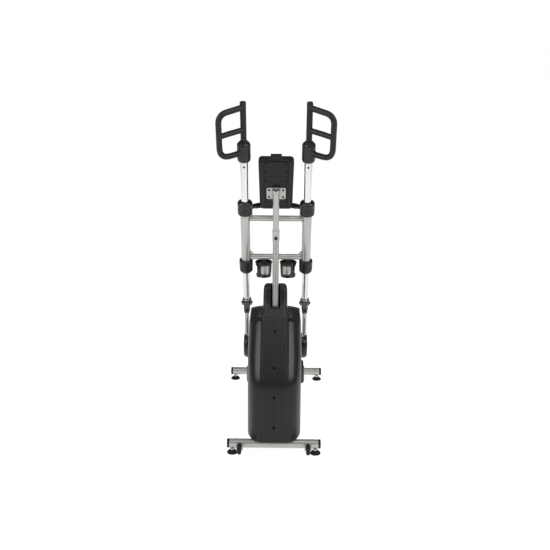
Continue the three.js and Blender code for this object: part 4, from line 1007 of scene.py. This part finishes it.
class CLIMBER_OT_poles(bpy.types.Operator):
    """Chrome poles, each with a yoke and pin at its foot and a small clamp screw near its top."""

    bl_idname = "climber.poles"
    bl_label = "Poles"

    def execute(self, context):
        head = context.scene.climber_sizes.bolt_head
        top = along_pole("grip_housing_left", HOUSING_RADIUS * MM)[0] - 0.3 * MM
        foot = 80 * MM
        for side_name, _ in SIDES:
            node = f"pole_{side_name}"
            at = pole_point(side_name, 0.0)
            profile = np.array([(0, foot), (POLE_RADIUS, foot), (POLE_RADIUS, top), (20.2 * MM, top),
                                (20.2 * MM, top - 20 * MM), (0, top - 20 * MM)])
            add(node + "_tube", [turned(profile, at, LEAN, 0.4 * MM, around=96, steps=3)], "chrome", node)
            pin = pole_point(side_name, JOINT_PIN_RISE)
            yoke = np.array([(-30, -13), (-21, -13), (-21, 20), (21, 20), (21, -13), (30, -13), (30, 10), (23.5, 34),
                             (-23.5, 34), (-30, 10)]) * MM
            yoke = rounded_line(yoke, np.array([4, 3, 4, 4, 3, 4, 4, 6, 6, 4]) * MM, 5, closed=True)
            ring = turned(np.array([(22, -1), (24.8, 0), (24.8, 5), (22.2, 8)]) * MM, pole_point(side_name, 87 * MM),
                          LEAN, 1.2 * MM, around=64)
            shapes = [slab(yoke, pin, X_AXIS, LEAN, -15 * MM, 15 * MM, 1.6 * MM), ring]
            add(node + "_yoke", shapes, "cast_iron", node, instead=False)
            bolts = [turned(np.array([(0, -31), (6, -31), (6, 31), (0, 31)]) * MM, pin, X_AXIS, 0.3 * MM, around=32)]
            bolts += hex_head(pin + X_AXIS * 29.5 * MM, X_AXIS, head * 1.05, 7 * MM)
            bolts += hex_head(pin - X_AXIS * 29.5 * MM, -X_AXIS, head * 1.05, 7 * MM)
            add(node + "_pin", bolts, "dark_steel", node, instead=False)
            front = pole_point(side_name, top - 26 * MM) - LEAN_BACK * (POLE_RADIUS - 0.6 * MM)
            add(node + "_clamp_screw", [cap_screw(front, -LEAN_BACK, 6 * MM, 3.5 * MM, 0.45)], "black_plastic", node,
                instead=False)
        return {"FINISHED"}


def faceted(points, at, facets, depth):
    """Pushes a turned shape in between evenly spaced ridges by depth * sin^2(facets * angle / 2)."""
    height = (points - at) @ LEAN
    arm = points - at - height[:, None] * LEAN
    radius = np.linalg.norm(arm, axis=1)
    angle = np.arctan2(arm @ LEAN_BACK, arm @ X_AXIS)
    push = depth * np.sin(facets * angle / 2) ** 2 * (radius > 30 * MM)
    return points - arm / np.maximum(radius, 1e-6)[:, None] * push[:, None]


GRIP_TURN = math.radians(34)
GRIP_REACH = 157 * MM
GRIP_FACETS, FACET_DEPTH = 14, 1.0 * MM


def grip_line(foot, out, corners, radii, count):
    """A rounded line through corners given as (out from the pole's axis, up it), evenly spaced."""
    line = evenly(rounded_line(corners, radii, 24), count)
    return foot + line[:, :1] * out + line[:, 1:] * LEAN


class CLIMBER_OT_grips(bpy.types.Operator):
    """Grip housings with soft facets, and the foam loops with their upright bars and end caps."""

    bl_idname = "climber.grips"
    bl_label = "Grips"

    def execute(self, context):
        start, end = along_pole("grip_housing_left", HOUSING_RADIUS * MM)
        start += 1.5 * MM
        r = HOUSING_RADIUS
        top = (end - start) / MM
        barrel = [(24, 0.2), (r - 8, 0.2), (r - 2.5, 5), (r, 16), (r, top - 26), (r - 1, top - 18), (r - 6, top - 10),
                  (r - 12, top - 7), (24, top - 6), (22.5, top), (17.4, top)]
        rounding = np.array([0, 2, 5, 8, 8, 6, 4, 2, 1, 1, 0]) * MM
        low = start + 50 * MM
        mid = start + 188 * MM
        high = start + 318 * MM
        for side_name, side in SIDES:
            housing = f"grip_housing_{side_name}"
            at = pole_point(side_name, start)
            points, faces = turned(np.array(barrel) * MM, at, LEAN, around=144, steps=6, radii=rounding)
            points = faceted(points, at, GRIP_FACETS, FACET_DEPTH)
            add(housing + "_barrel", [(points, faces)], "black_plastic", housing, sharp=30)
            loop = f"grip_loop_{side_name}"
            out = side * math.cos(GRIP_TURN) * X_AXIS - math.sin(GRIP_TURN) * LEAN_BACK
            level = np.cross(out, LEAN)
            foot = pole_point(side_name, 0.0)
            rail = grip_line(foot, out, [(24 * MM, low + 4 * MM), (GRIP_REACH - 2 * MM, low + 4 * MM),
                                         (GRIP_REACH, high - 7 * MM), (6 * MM, high + 3 * MM)],
                             [0, 76 * MM, 54 * MM, 0], 110)
            arm = grip_line(foot, out, [(6 * MM, mid + 2 * MM), (90 * MM, mid), (GRIP_REACH, mid - 4 * MM)],
                            [0, 20 * MM, 0], 24)
            bar = straight(foot + LEAN * (end - 4 * MM), foot + LEAN * (start + 352 * MM), 30)
            shapes = [swept(rail, level, 16.6 * MM, 44), swept(arm, level, 15.6 * MM, 40),
                      swept(bar, X_AXIS, 17 * MM, 48, tip=7 * MM)]
            add(loop + "_foam", shapes, "grip_rubber", loop)
            ring = np.array([(16, 0), (18.4, 0.5), (18.4, 4.5), (16, 5)]) * MM
            rings = [turned(ring, foot + LEAN * up, LEAN, 1 * MM, around=56)
                     for up in (end + 1 * MM, start + 338 * MM)]
            socket = foot + out * 31 * MM + LEAN * (low + 4 * MM)
            rings.append(turned(np.array([(15, 0), (19.6, 0), (19.6, 9), (18, 12), (15, 12)]) * MM, socket, out,
                                1.4 * MM, around=56))
            add(loop + "_rings", rings, "black_plastic", loop, instead=False)
        return {"FINISHED"}


# ------------------------------------------------------------------ struts

KNEE_EYE_RADIUS = 22
KNEE_PIN_INSIDE = 144 * MM
# Length and height above the knee of the dark strip that paints the shade of a groove on each strut.
GROOVE_SHADE_LONG, GROOVE_SHADE_UP = 100 * MM, 130 * MM


class CLIMBER_OT_struts(bpy.types.Operator):
    """Struts under the poles: universal-joint block, tube and knee eye, with their bolts."""

    bl_idname = "climber.struts"
    bl_label = "Struts"

    def execute(self, context):
        for side_name, side in SIDES:
            node = f"strut_{side_name}"
            pin = pole_point(side_name, JOINT_PIN_RISE)
            low, _ = node_box(node)
            knee = np.array((pin[0], pin[1], low[2] + KNEE_EYE_RADIUS * MM))
            block = np.array([(-14, -70), (14, -70), (17, -60), (20, -40), (20, 4), (12, 14), (-12, 14), (-20, 4),
                              (-20, -40), (-17, -60)]) * MM
            block = rounded_line(block, 4 * MM, 5, closed=True)
            joint = [slab(block, pin, X_AXIS, Z_AXIS, -13 * MM, 13 * MM, 2 * MM)]
            eye = np.array([(0, -13), (KNEE_EYE_RADIUS, -13), (KNEE_EYE_RADIUS, 13), (0, 13)]) * MM
            shapes = [swept(straight(pin - Z_AXIS * 66 * MM, knee, 3), X_AXIS, 14 * MM, 48),
                      turned(eye, knee, X_AXIS, 2 * MM, around=56)]
            inner = side * KNEE_PIN_INSIDE
            pin_long = abs(knee[0] - inner)
            pin_run = turned([(0, 0), (8 * MM, 0), (8 * MM, pin_long), (0, pin_long)], (inner, knee[1], knee[2]),
                             X_AXIS * side, 0.8 * MM, around=36)
            add(node + "_tube", shapes, "frame_paint", node)
            add(node + "_joint", joint, "cast_iron", node, instead=False)
            add(node + "_knee_pin", [pin_run], "dark_steel", node, instead=False)
            # A thin black strip on the front of the strut where a groove is: painted groove shade, not a cut.
            groove = oblong(5 * MM, GROOVE_SHADE_LONG, 2.4 * MM, 5)
            groove_shade = slab(groove, knee + Z_AXIS * GROOVE_SHADE_UP, X_AXIS, Z_AXIS, 13.3 * MM, 14.4 * MM, 0.4 * MM)
            bolts = [cap_screw(pin + np.array((0, y * 13, -50)) * MM, Y_AXIS * y, 11 * MM, 6 * MM) for y in (-1, 1)]
            add(node + "_bolts", bolts, "dark_steel", node, instead=False)
            add(node + "_stripe", [groove_shade], "black_plastic", node, instead=False)
        return {"FINISHED"}


# ------------------------------------------------------------------ swinging arms, knees and pedals

ARM_LONG = 468.2 * MM
ARM_RISE = math.radians(20)
KNEE_MOUTH_HALF, KNEE_MOUTH_FOOT, KNEE_MOUTH_FACE = 40 * MM, 24 * MM, 15 * MM


class CLIMBER_OT_linkage(bpy.types.Operator):
    """Four swinging arms with their eyes and sleeves; the hanger plates keep their own shape."""

    bl_idname = "climber.linkage"
    bl_label = "Swinging Arms"

    def execute(self, context):
        ahead = np.array((0, math.cos(ARM_RISE), math.sin(ARM_RISE)))
        rise = np.cross(X_AXIS, ahead)
        bar = oblong(ARM_LONG - 24 * MM, 30 * MM, 4 * MM, 5, (ARM_LONG / 2, 0))
        for level, near in (("upper", 26), ("lower", 38)):
            for side_name, side in SIDES:
                node = f"{level}_arm_{side_name}"
                pivot = np.array(JOINTS[f"{side_name}_{level}_arm_pivot"]["pos_m"], float) * (0, 1, 1)
                first, last = sorted((113 * side, 143 * side))
                inner, outer = sorted((117 * side, 139 * side))
                shapes = [slab(bar, pivot, ahead, rise, inner * MM, outer * MM, 1.5 * MM, 4)]
                for along in (0.0, ARM_LONG):
                    eye = np.array([(10.9, first), (20, first), (21, first + 1.5), (21, last - 1.5), (20, last),
                                    (10.9, last), (10.9, first)]) * MM
                    shapes.append(turned(eye, pivot + ahead * along, X_AXIS, 0.6 * MM, around=56, steps=3))
                    shapes.append(weld_bead(pivot + ahead * along + X_AXIS * outer * MM * 0.995, X_AXIS * side,
                                            20.5 * MM, 2 * MM))
                sleeve = np.array([(10.9, near), (15.5, near), (15.5, 115), (10.9, 115), (10.9, near)]) * MM
                shapes.append(turned(sleeve, pivot, X_AXIS * side, 0.4 * MM, around=48, steps=3))
                add(node + "_bar", shapes, "frame_paint", node)
        repaint("frame_paint", "hanger_left", "hanger_right")
        return {"FINISHED"}


class CLIMBER_OT_knees(bpy.types.Operator):
    """Round dished covers over the knees, open at the top where the strut enters."""

    bl_idname = "climber.knees"
    bl_label = "Knee Covers"

    def execute(self, context):
        for side_name, side in SIDES:
            node = f"knee_cover_{side_name}"
            low, high = node_box(node)
            radius = (high[1] - low[1]) / 2
            face = high[0] if side > 0 else low[0]
            at = np.array((face, (low[1] + high[1]) / 2, high[2] - radius))
            r, d = radius / MM, (high[0] - low[0]) / MM
            dome = [(0, 0), (22, 0), (26, -2.4), (r - 22, -3.4), (r - 15, -2), (r - 7, -6), (r - 1.5, -14), (r, -22),
                    (r, 3 - d), (r - 3, 1 - d), (r - 6, 0.5 - d)]
            line = evenly(rounded_line(np.array(dome) * MM, 5 * MM, 6), 70)
            points, faces = turned(line, at, X_AXIS * side, 0, around=128, steps=2, radii=0)
            middles = points[np.array(faces)].mean(axis=1) - at
            mouth = np.abs(middles[:, 1]) < KNEE_MOUTH_HALF
            mouth &= (middles[:, 2] > KNEE_MOUTH_FOOT) & (middles[:, 0] * side < -KNEE_MOUTH_FACE)
            kept = [quad for quad, gone in zip(faces, mouth) if not gone]
            give_wall(add(node + "_dome", [(points, kept)], "black_plastic", node), 3 * MM)
            cap = hex_head(at - X_AXIS * side * 1 * MM, X_AXIS * side, 7 * MM, 1.2 * MM)[:1]
            add(node + "_cap", cap, "dark_steel", node, instead=False)
        return {"FINISHED"}


GUARD_FALLS, GUARD_ENDS = 0.10, 0.44


def pedal_height(y, front, back, low, guard):
    """Height of the pedal's rim from front to back: the guard, then a smooth fall to a low rim."""
    return guard + (low - guard) * smooth((y - front) / (back - front), GUARD_FALLS, GUARD_ENDS)


def pedal_ring(outline, amount, height):
    """The pedal's outline moved in by amount millimetres, at one height or at one for each point."""
    return np.column_stack([inset(outline, amount * MM), np.broadcast_to(height, len(outline))])


class CLIMBER_OT_pedals(bpy.types.Operator):
    """Pedal trays with a toe guard that falls to a low rim, and ribbed rubber foot pads."""

    bl_idname = "climber.pedals"
    bl_label = "Pedals"

    def execute(self, context):
        for side_name, _ in SIDES:
            node = f"pedal_{side_name}"
            low, high = node_box(node)
            wide, long = high[0] - low[0], high[1] - low[1]
            centre = (low + high) / 2
            base = evenly(oblong(wide, long, 40 * MM, 14), 160, closed=True)
            tops = pedal_height(base[:, 1] + centre[1], low[1], high[1], low[2] + 43 * MM, high[2])
            outside = [pedal_ring(base, amount, low[2] + level * MM)
                       for amount, level in ((12, 0.0), (4, 0.6), (0.8, 5.0), (0, 14.0))]
            lip = [pedal_ring(base, amount, tops - drop * MM)
                   for amount, drop in ((0, 2.0), (0.8, 0.5), (2.2, 0.0), (3.6, 0.5), (4.4, 2.0))]
            inside = [pedal_ring(base, amount, low[2] + level * MM)
                      for amount, level in ((4.6, 18.0), (6, 13.4), (10, 12.0))]
            grid = np.stack(outside + lip + inside) + np.array((centre[0], centre[1], 0))
            add(node + "_tray", [skin(grid)], "black_plastic", node)
            pads = []
            for y in np.linspace(-long / 2 + 34 * MM, long / 2 - 30 * MM, 15):
                rib = oblong(wide - 42 * MM, 9 * MM, 4 * MM, 6, (0, y))
                pads.append(slab(rib, (centre[0], centre[1], low[2] + 12 * MM), X_AXIS, Y_AXIS, 0, 4.5 * MM,
                                 1.5 * MM))
            add(node + "_ribs", pads, "rubber", node, instead=False)
        return {"FINISHED"}


# ------------------------------------------------------------------ drive inside the shroud


class CLIMBER_OT_drive(bpy.types.Operator):
    """Flywheel, drive pulley and shafts turned fine; the plates, belt and bevel pinion keep their shape."""

    bl_idname = "climber.drive"
    bl_label = "Drive"

    def execute(self, context):
        axle_at = np.array(JOINTS["left_upper_arm_pivot"]["pos_m"], float) * (0, 1, 1)
        wheel_at = middle("flywheel") * (0, 1, 1)
        disc_profile = [(9, 40), (30, 40), (34, 46), (91, 46), (94, 38), (123, 38), (125, 40), (125, 61), (123, 63),
                        (94, 63), (91, 55), (24, 55), (24, 66), (27, 66), (27, 82), (9, 82), (9, 40)]
        add("flywheel_disc", [turned(np.array(disc_profile) * MM, wheel_at, X_AXIS, 1.2 * MM, around=112)],
            "cast_iron", "flywheel")
        pulley = [(16.5, 66), (31, 66), (33, 71), (77, 71), (79, 66), (88, 66), (90, 68), (90, 80), (88, 82),
                  (79, 82), (77, 77), (33, 77), (31, 82), (16.5, 82), (16.5, 66)]
        add("drive_pulley_disc", [turned(np.array(pulley) * MM, axle_at, X_AXIS, 1 * MM, around=96)],
            "black_plastic", "drive_pulley")
        for node, at, radius in (("main_axle", axle_at, 10 * MM), ("flywheel_axle", wheel_at, 8 * MM)):
            low, high = node_box(node)
            rod = [(0, low[0]), (radius - 1 * MM, low[0]), (radius, low[0] + 1 * MM), (radius, high[0] - 1 * MM),
                   (radius - 1 * MM, high[0]), (0, high[0])]
            add(node + "_shaft", [turned(rod, at, X_AXIS, 0.4 * MM, around=40)], "dark_steel", node)
        repaint("dark_steel", "drive_frame", "magnet_arm", "bevel_pinion")
        repaint("rubber", "drive_belt")
        return {"FINISHED"}


# ------------------------------------------------------------------ shroud

# Lengths in this part are in millimetres unless MM stands beside them. The shroud's width at
# each of its levels is a share of its widest.
SHROUD_LEVELS = (90, 97, 112, 440, 560, 730, 819)
SHROUD_SHARES = (0.93, 0.965, 0.98, 0.98, 1.0, 0.975, 0.93)
SPINE_Y = -651.0
SPINE_BREAK = 440.0
SPINE_ROUNDING = 30.0
SPINE_LEAN = math.tan(math.radians(37.5))
GROOVE_DEPTH, PANEL_RISE, SHOULDER_SET_BACK, BELLY, SEAM_GROOVE = 3.0, 3.0, 24.0, 3.0, 1.2
ROOF = 807.0
SINK_STARTS, SINK_BACK, SINK_SIDE = 690, 0.17, 16
MAST_SLOPE = 0.306
MAST_HOLE_RADIUS = 25
ROLL_IN, ROLL_UP, ROLL_SPAN = 14, 11.7, 130
ARM_SLOT_X, ARM_SLOT_Z, ARM_SLOT_DEPTH = (105 * MM, 149 * MM), (106 * MM, 435 * MM), 14
FRONT_POINTS = 34
NECK_FRONT, NECK_RECESS = 17 * MM, 29.5 * MM
BOOT_HEIGHT = 806
SCREW_HEIGHTS = (184, 365, 522, 699)


def spine_line(z):
    """The shroud's foremost line: upright, then leaning back, with a rounded break between.

    It is SPINE_Y + lean * (u + sqrt(u^2 + rounding^2)) / 2, u being the height above the break.
    """
    up = z - SPINE_BREAK
    return SPINE_Y + SPINE_LEAN * (up + np.sqrt(up * up + SPINE_ROUNDING**2)) / 2


def shroud_relief(x, z, rise):
    """How far the shroud's front stands out, in millimetres, at x across and z up.

    A spine with crisp flanks that runs out below the break and folds back at its top, a groove
    beside it, side panels whose tops curve in, shoulders set far back behind them, and a faint
    belly below the break: each is its height times a smooth mask of x and z.
    """
    above = smooth(z, 400, 480)
    spine = (0.6 + 0.4 * above) * (1 - smooth(x, 69.0, 73.0)) * (1 - smooth(z, 775, 815))
    groove = above * smooth(x, 73.0, 74.5) * (1 - smooth(x, 77.0, 81.0)) * (1 - smooth(z, 765, 800))
    top = 748 - 40 * np.clip((x - 84) / 70, 0, 1) ** 2.4
    behind = smooth(x, 73, 82) * smooth(z, top - 3, top + 12)
    panel = above * smooth(x, 77.0, 82.0)
    foot = SHROUD_LEVELS[0]
    belly = np.sin(np.clip((z - foot) / (SPINE_BREAK - foot), 0, 1) * math.pi) * (1 - above)
    seam = 1 - smooth(x, 0.4, 1.8)
    return (rise * spine - GROOVE_DEPTH * groove + PANEL_RISE * panel - SHOULDER_SET_BACK * behind
            + BELLY * belly - SEAM_GROOVE * seam)


def shroud_half(side, rise):
    """Half of the shroud as a grid: level rings from seam to rear, stacked from the floor up.

    Each ring is a rounded line through the spine, the flank and the rear corner; the relief
    moves its front out. The upper levels sink towards the rear and the sides, and the last
    rings roll over the shoulder in to the mast.
    """
    high = node_box("shroud_left")[1]
    half = high[0] / MM
    rear = (high[1] - spot(0, 0, 0)[1]) / MM
    columns = 150
    levels = np.concatenate([np.linspace(90, 112, 8), np.linspace(118, 390, 34), np.linspace(396, 490, 32),
                             np.linspace(495, 690, 40), np.linspace(693, ROOF, 62)])
    front_x = np.concatenate([[0, 0.5, 1.2, 1.9], np.linspace(4, 66, 16), np.linspace(68, 84, 21),
                              np.linspace(87, 128, 13)])
    rows = []
    for z in levels:
        wide = half * np.interp(z, SHROUD_LEVELS, SHROUD_SHARES)
        front = spine_line(z)
        corners = [(0, front), (74, front + 2), (wide * 0.80, front + 27), (wide, front + 84), (wide, rear),
                   (0, rear)]
        line = rounded_line(corners, [0, 12, 45, 60, 16, 0], 16)
        travel = np.concatenate([[0], np.cumsum(np.linalg.norm(np.diff(line, axis=0), axis=1))])
        stations = np.interp(front_x, line[:FRONT_POINTS, 0], travel[:FRONT_POINTS])
        rest = np.linspace(stations[-1], travel[-1], columns - len(stations) + 1)[1:]
        wanted = np.concatenate([stations, rest])
        ring = np.stack([np.interp(wanted, travel, line[:, k]) for k in range(2)], axis=1)
        facing = 1 - smooth(ring[:, 1] - front, 24, 84)
        ring[:, 1] -= shroud_relief(ring[:, 0], z, rise / MM) * facing
        rows.append(np.column_stack([ring, np.full(columns, z)]))
    grid = np.stack(rows)
    sink = (SINK_BACK * np.clip(grid[..., 1] - spine_line(ROOF), 0, None)
            + SINK_SIDE * (grid[..., 0] / half) ** 3)
    grid[..., 2] -= sink * np.clip((grid[..., 2] - SINK_STARTS) / (ROOF - SINK_STARTS), 0, 1)
    base = grid[-1]
    hole_centre = np.array((0.0, MAST_FOOT_Y + (ROOF - MAST_FOOT_HEIGHT) * MAST_SLOPE))
    angle = np.linspace(-math.pi / 2, math.pi / 2, columns)
    hole = hole_centre + MAST_HOLE_RADIUS * np.stack([np.cos(angle), np.sin(angle)], axis=1)
    roll = []
    for turn in np.linspace(0, math.pi / 2, 9)[1:]:
        share = ROLL_IN * (1 - math.cos(turn)) / ROLL_SPAN
        roll.append(np.column_stack([base[:, :2] * (1 - share) + hole_centre * share,
                                     base[:, 2] + ROLL_UP * math.sin(turn)]))
    rolled = roll[-1]
    for share in (0.35, 0.7, 1.0):
        flat = rolled[:, :2] * (1 - share) + hole * share
        roll.append(np.column_stack([flat, rolled[:, 2] * (1 - share) + (ROOF + 9) * share]))
    grid = np.concatenate([grid, np.stack(roll)])
    grid[..., 0] = np.maximum(grid[..., 0], 0.3)
    points, faces = skin(grid * MM + spot(0, 0, 0), wrap=False, capped=False)
    faces = np.array(faces)
    x, y, z = points[faces].mean(axis=1).T
    slot = (x > ARM_SLOT_X[0]) & (x < ARM_SLOT_X[1]) & (y > spot(0, rear - ARM_SLOT_DEPTH, 0)[1])
    slot &= (z > ARM_SLOT_Z[0]) & (z < ARM_SLOT_Z[1])
    faces = faces[~slot]
    if side < 0:
        points = points * (-1, 1, 1)
        faces = faces[:, ::-1]
    return points, faces.tolist()


class CLIMBER_OT_shroud(bpy.types.Operator):
    """Two shroud halves with spine, panels and shoulders, the neck piece and the seam screws."""

    bl_idname = "climber.shroud"
    bl_label = "Shroud"

    def execute(self, context):
        sizes = context.scene.climber_sizes
        for side_name, side in SIDES:
            node = f"shroud_{side_name}"
            piece = add(node + "_shell", [shroud_half(side, sizes.spine_rise)], "shroud_plastic", node, sharp=24,
                        outward=False)
            give_wall(piece, 3.2 * MM)
        rise = sizes.spine_rise / MM
        low, high = node_box("shroud_neck")
        outline = np.array([(29, -17), (60, -17), (72, 0), (72, 58), (55, 76), (-55, 76), (-72, 58), (-72, 0),
                            (-60, -17), (-29, -17), (-29, 14), (-16, 28), (16, 28), (29, 14)]) * MM
        radii = np.array([4, 10, 10, 14, 14, 14, 14, 10, 10, 4, 12, 12, 12, 12]) * MM
        ring = rounded_line(outline, radii, 7, closed=True)
        recess = np.abs(ring[:, 0]) < NECK_RECESS
        pull = np.clip(-ring[:, 1] / NECK_FRONT, 0, 1) * ~recess
        rows = []
        for up, amount in ((-0.42, 0.0), (-0.3, 0.0), (-0.18, 0.0), (-0.06, 0.0), (0.06, 0.0), (0.2, 0.0), (0.5, 0.6),
                           (0.78, 1.6), (0.88, 4.0), (0.95, 8.0), (0.985, 12.5), (1.0, 17.0)):
            z = low[2] + (high[2] - low[2]) * up
            middle_y = MAST_BEND[1] - (MAST_BEND[2] - z) * MAST_SLOPE
            line = np.where(recess[:, None], ring, inset(ring, amount * MM))
            front = spot(0, spine_line(z / MM) - rise - 1.0, 0)[1]
            reach = max(0.0, middle_y - NECK_FRONT - front) * pull
            rows.append(np.column_stack([line[:, 0], line[:, 1] + middle_y - reach, np.full(len(line), z)]))
        add("shroud_neck_piece", [skin(np.stack(rows))], "shroud_plastic", "shroud_neck")
        boot_share = (BOOT_HEIGHT - MAST_FOOT_HEIGHT) / (MAST_BEND_HEIGHT - MAST_FOOT_HEIGHT)
        boot_at = MAST_FOOT + (MAST_BEND - MAST_FOOT) * boot_share
        boot = np.array([(19.3, 0), (25, 0), (28.5, 3), (28.5, 7), (26, 9.5), (20, 10), (19.3, 8)]) * MM
        add("mast_boot", [turned(boot, boot_at, MAST_BEND - MAST_FOOT, 2 * MM, around=64)], "rubber", "shroud_neck",
            instead=False)
        screws = []
        for z in SCREW_HEIGHTS:
            ahead = [spine_line(level) - shroud_relief(5.0, level, rise) for level in (z - 4.0, z + 4.0)]
            out = np.array((0.0, -8.0, ahead[1] - ahead[0]))
            out /= np.linalg.norm(out)
            at = spot(0, sum(ahead) / 2, z)
            cup = np.array([(0, -1), (4.4, -1), (5.0, 1.0), (7.6, 1.2), (8.2, 0.2), (8.2, -2)]) * MM
            screws.append(turned(cup, at, out, 0.4 * MM, around=40))
            screws.append(cap_screw(at - out * 0.8 * MM, out, 3.9 * MM, 1.4 * MM))
        # These screws take the reflection-free copy of black plastic: painted shade of their recesses.
        add("shroud_seam_screws", screws, "black_plastic", "shroud_left", instead=False,
            material=finish("black_plastic", "dull_screws", DULL_SCREWS_PAINTED_SHADE))
        return {"FINISHED"}


# ------------------------------------------------------------------ stage


FLOOR_HALF, FLOOR_DROP, FLOOR_POINTS = 14, 0.5 * MM, 9
GLOW_SCALE = 0.32
SENSOR = 36.0
LENS_TO_SENSOR = 817 / 550
CAMERA_AT = (0.048, -4.957, 2.140)
CAMERA_TURNS = ((0.626, "Z"), (76.3, "X"), (0.4, "Z"))


def lay_floor(settings):
    """A flat grid that glows a little less near the machine than far from it."""
    mesh = bpy.data.meshes.new("floor")
    share = np.linspace(-1, 1, FLOOR_POINTS)
    across, along = np.meshgrid(share * FLOOR_HALF, share * FLOOR_HALF, indexing="xy")
    grid = np.stack([across, along, np.full(across.shape, -FLOOR_DROP)], axis=-1)
    points, faces = skin(grid, wrap=False, capped=False)
    mesh.from_pydata(points, [], faces)
    floor = bpy.data.objects.new("floor", mesh)
    bpy.context.scene.collection.objects.link(floor)
    cover = bpy.data.materials.new("floor")
    cover.use_nodes = True
    nodes, links = cover.node_tree.nodes, cover.node_tree.links
    shader = nodes["Principled BSDF"]
    shader.inputs["Base Color"].default_value = tuple(settings.floor_colour) + (1.0,)
    shader.inputs["Roughness"].default_value = 0.6
    shader.inputs["Emission Color"].default_value = (1, 1, 1, 1)
    mapping = nodes.new("ShaderNodeMapping")
    mapping.inputs["Scale"].default_value = (GLOW_SCALE, GLOW_SCALE, GLOW_SCALE)
    links.new(nodes.new("ShaderNodeTexCoord").outputs["Object"], mapping.inputs["Vector"])
    nearness = nodes.new("ShaderNodeTexGradient")
    nearness.gradient_type = "SPHERICAL"
    links.new(mapping.outputs["Vector"], nearness.inputs["Vector"])
    glow = nodes.new("ShaderNodeMapRange")
    glow.inputs["To Min"].default_value = 1.0
    glow.inputs["To Max"].default_value = settings.floor_glow
    links.new(nearness.outputs["Fac"], glow.inputs["Value"])
    links.new(glow.outputs["Result"], shader.inputs["Emission Strength"])
    mesh.materials.append(cover)


def open_sky(settings):
    """A world that is seen white and lights the machine evenly and more weakly."""
    world = bpy.data.worlds.new("sky")
    world.use_nodes = True
    bpy.context.scene.world = world
    nodes, links = world.node_tree.nodes, world.node_tree.links
    background = nodes["Background"]
    background.inputs["Color"].default_value = (1, 1, 1, 1)
    seen = nodes.new("ShaderNodeMapRange")
    seen.inputs["To Min"].default_value = settings.sky
    seen.inputs["To Max"].default_value = 1.0
    links.new(nodes.new("ShaderNodeLightPath").outputs["Is Camera Ray"], seen.inputs["Value"])
    links.new(seen.outputs["Result"], background.inputs["Strength"])


def hang_lamp(name, place, size, power, aim_at):
    """A square soft light that faces a point."""
    lamp = bpy.data.lights.new(name, "AREA")
    lamp.energy = power
    lamp.size = size
    piece = bpy.data.objects.new(name, lamp)
    bpy.context.scene.collection.objects.link(piece)
    piece.location = place
    piece.rotation_euler = (Vector(aim_at) - Vector(place)).to_track_quat("-Z", "Y").to_euler()


def set_camera():
    """A camera in front of the machine, turned about Z, X and its own Z."""
    lens = bpy.data.cameras.new("camera")
    lens.sensor_width = SENSOR
    lens.sensor_fit = "HORIZONTAL"
    lens.lens = SENSOR * LENS_TO_SENSOR
    lens.clip_end = 60.0
    camera = bpy.data.objects.new("camera", lens)
    bpy.context.scene.collection.objects.link(camera)
    place = Matrix.Translation(CAMERA_AT)
    for degrees, axis in CAMERA_TURNS:
        place = place @ Matrix.Rotation(math.radians(degrees), 4, axis)
    camera.matrix_world = place
    bpy.context.scene.camera = camera


class CLIMBER_OT_stage(bpy.types.Operator):
    """Pale floor, even sky, three soft lights and the camera."""

    bl_idname = "climber.stage"
    bl_label = "Stage"

    def execute(self, context):
        settings = context.scene.climber_stage
        lay_floor(settings)
        open_sky(settings)
        context.scene.view_settings.view_transform = "Standard"
        centre = np.array(CAD_BOX).mean(axis=0)
        hang_lamp("key", (0.2, -1.7, 4.6), 2.0, settings.key, centre)
        for name, x in (("left_side", 2.7), ("right_side", -2.7)):
            hang_lamp(name, (x, -2.1, 3.3), 1.7, settings.side, centre)
        set_camera()
        return {"FINISHED"}


# ------------------------------------------------------------------ panel and registration

STEPS = (CLIMBER_OT_base, CLIMBER_OT_wheels, CLIMBER_OT_mast, CLIMBER_OT_console, CLIMBER_OT_guides,
         CLIMBER_OT_handlebar, CLIMBER_OT_cups, CLIMBER_OT_poles, CLIMBER_OT_grips, CLIMBER_OT_struts,
         CLIMBER_OT_linkage, CLIMBER_OT_knees, CLIMBER_OT_pedals, CLIMBER_OT_drive, CLIMBER_OT_shroud,
         CLIMBER_OT_stage)
GROUPS = (("climber_colours", ClimberColours), ("climber_sizes", ClimberSizes), ("climber_stage", ClimberStage))


class CLIMBER_PT_panel(bpy.types.Panel):
    """Settings and building steps of the climber."""

    bl_label = "Climber"
    bl_idname = "CLIMBER_PT_panel"
    bl_space_type = "VIEW_3D"
    bl_region_type = "UI"
    bl_category = "Climber"

    def draw(self, context):
        for group_name, group in GROUPS:
            box = self.layout.box()
            for setting in group.__annotations__:
                box.prop(getattr(context.scene, group_name), setting)
        for step in STEPS:
            self.layout.operator(step.bl_idname)


def register():
    """Registers the settings, the building steps and the panel."""
    for _, group in GROUPS:
        bpy.utils.register_class(group)
    for group_name, group in GROUPS:
        setattr(bpy.types.Scene, group_name, bpy.props.PointerProperty(type=group))
    for step in STEPS:
        bpy.utils.register_class(step)
    bpy.utils.register_class(CLIMBER_PT_panel)


def unregister():
    """Takes them away again, last first."""
    bpy.utils.unregister_class(CLIMBER_PT_panel)
    for step in reversed(STEPS):
        bpy.utils.unregister_class(step)
    for group_name, group in reversed(GROUPS):
        delattr(bpy.types.Scene, group_name)
        bpy.utils.unregister_class(group)


def main():
    """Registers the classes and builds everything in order."""
    register()
    for step in STEPS:
        family, name = step.bl_idname.split(".")
        result = getattr(getattr(bpy.ops, family), name)()
        if "FINISHED" not in result:
            raise RuntimeError(f"{step.bl_label} was not finished")


if __name__ == "__main__":
    main()
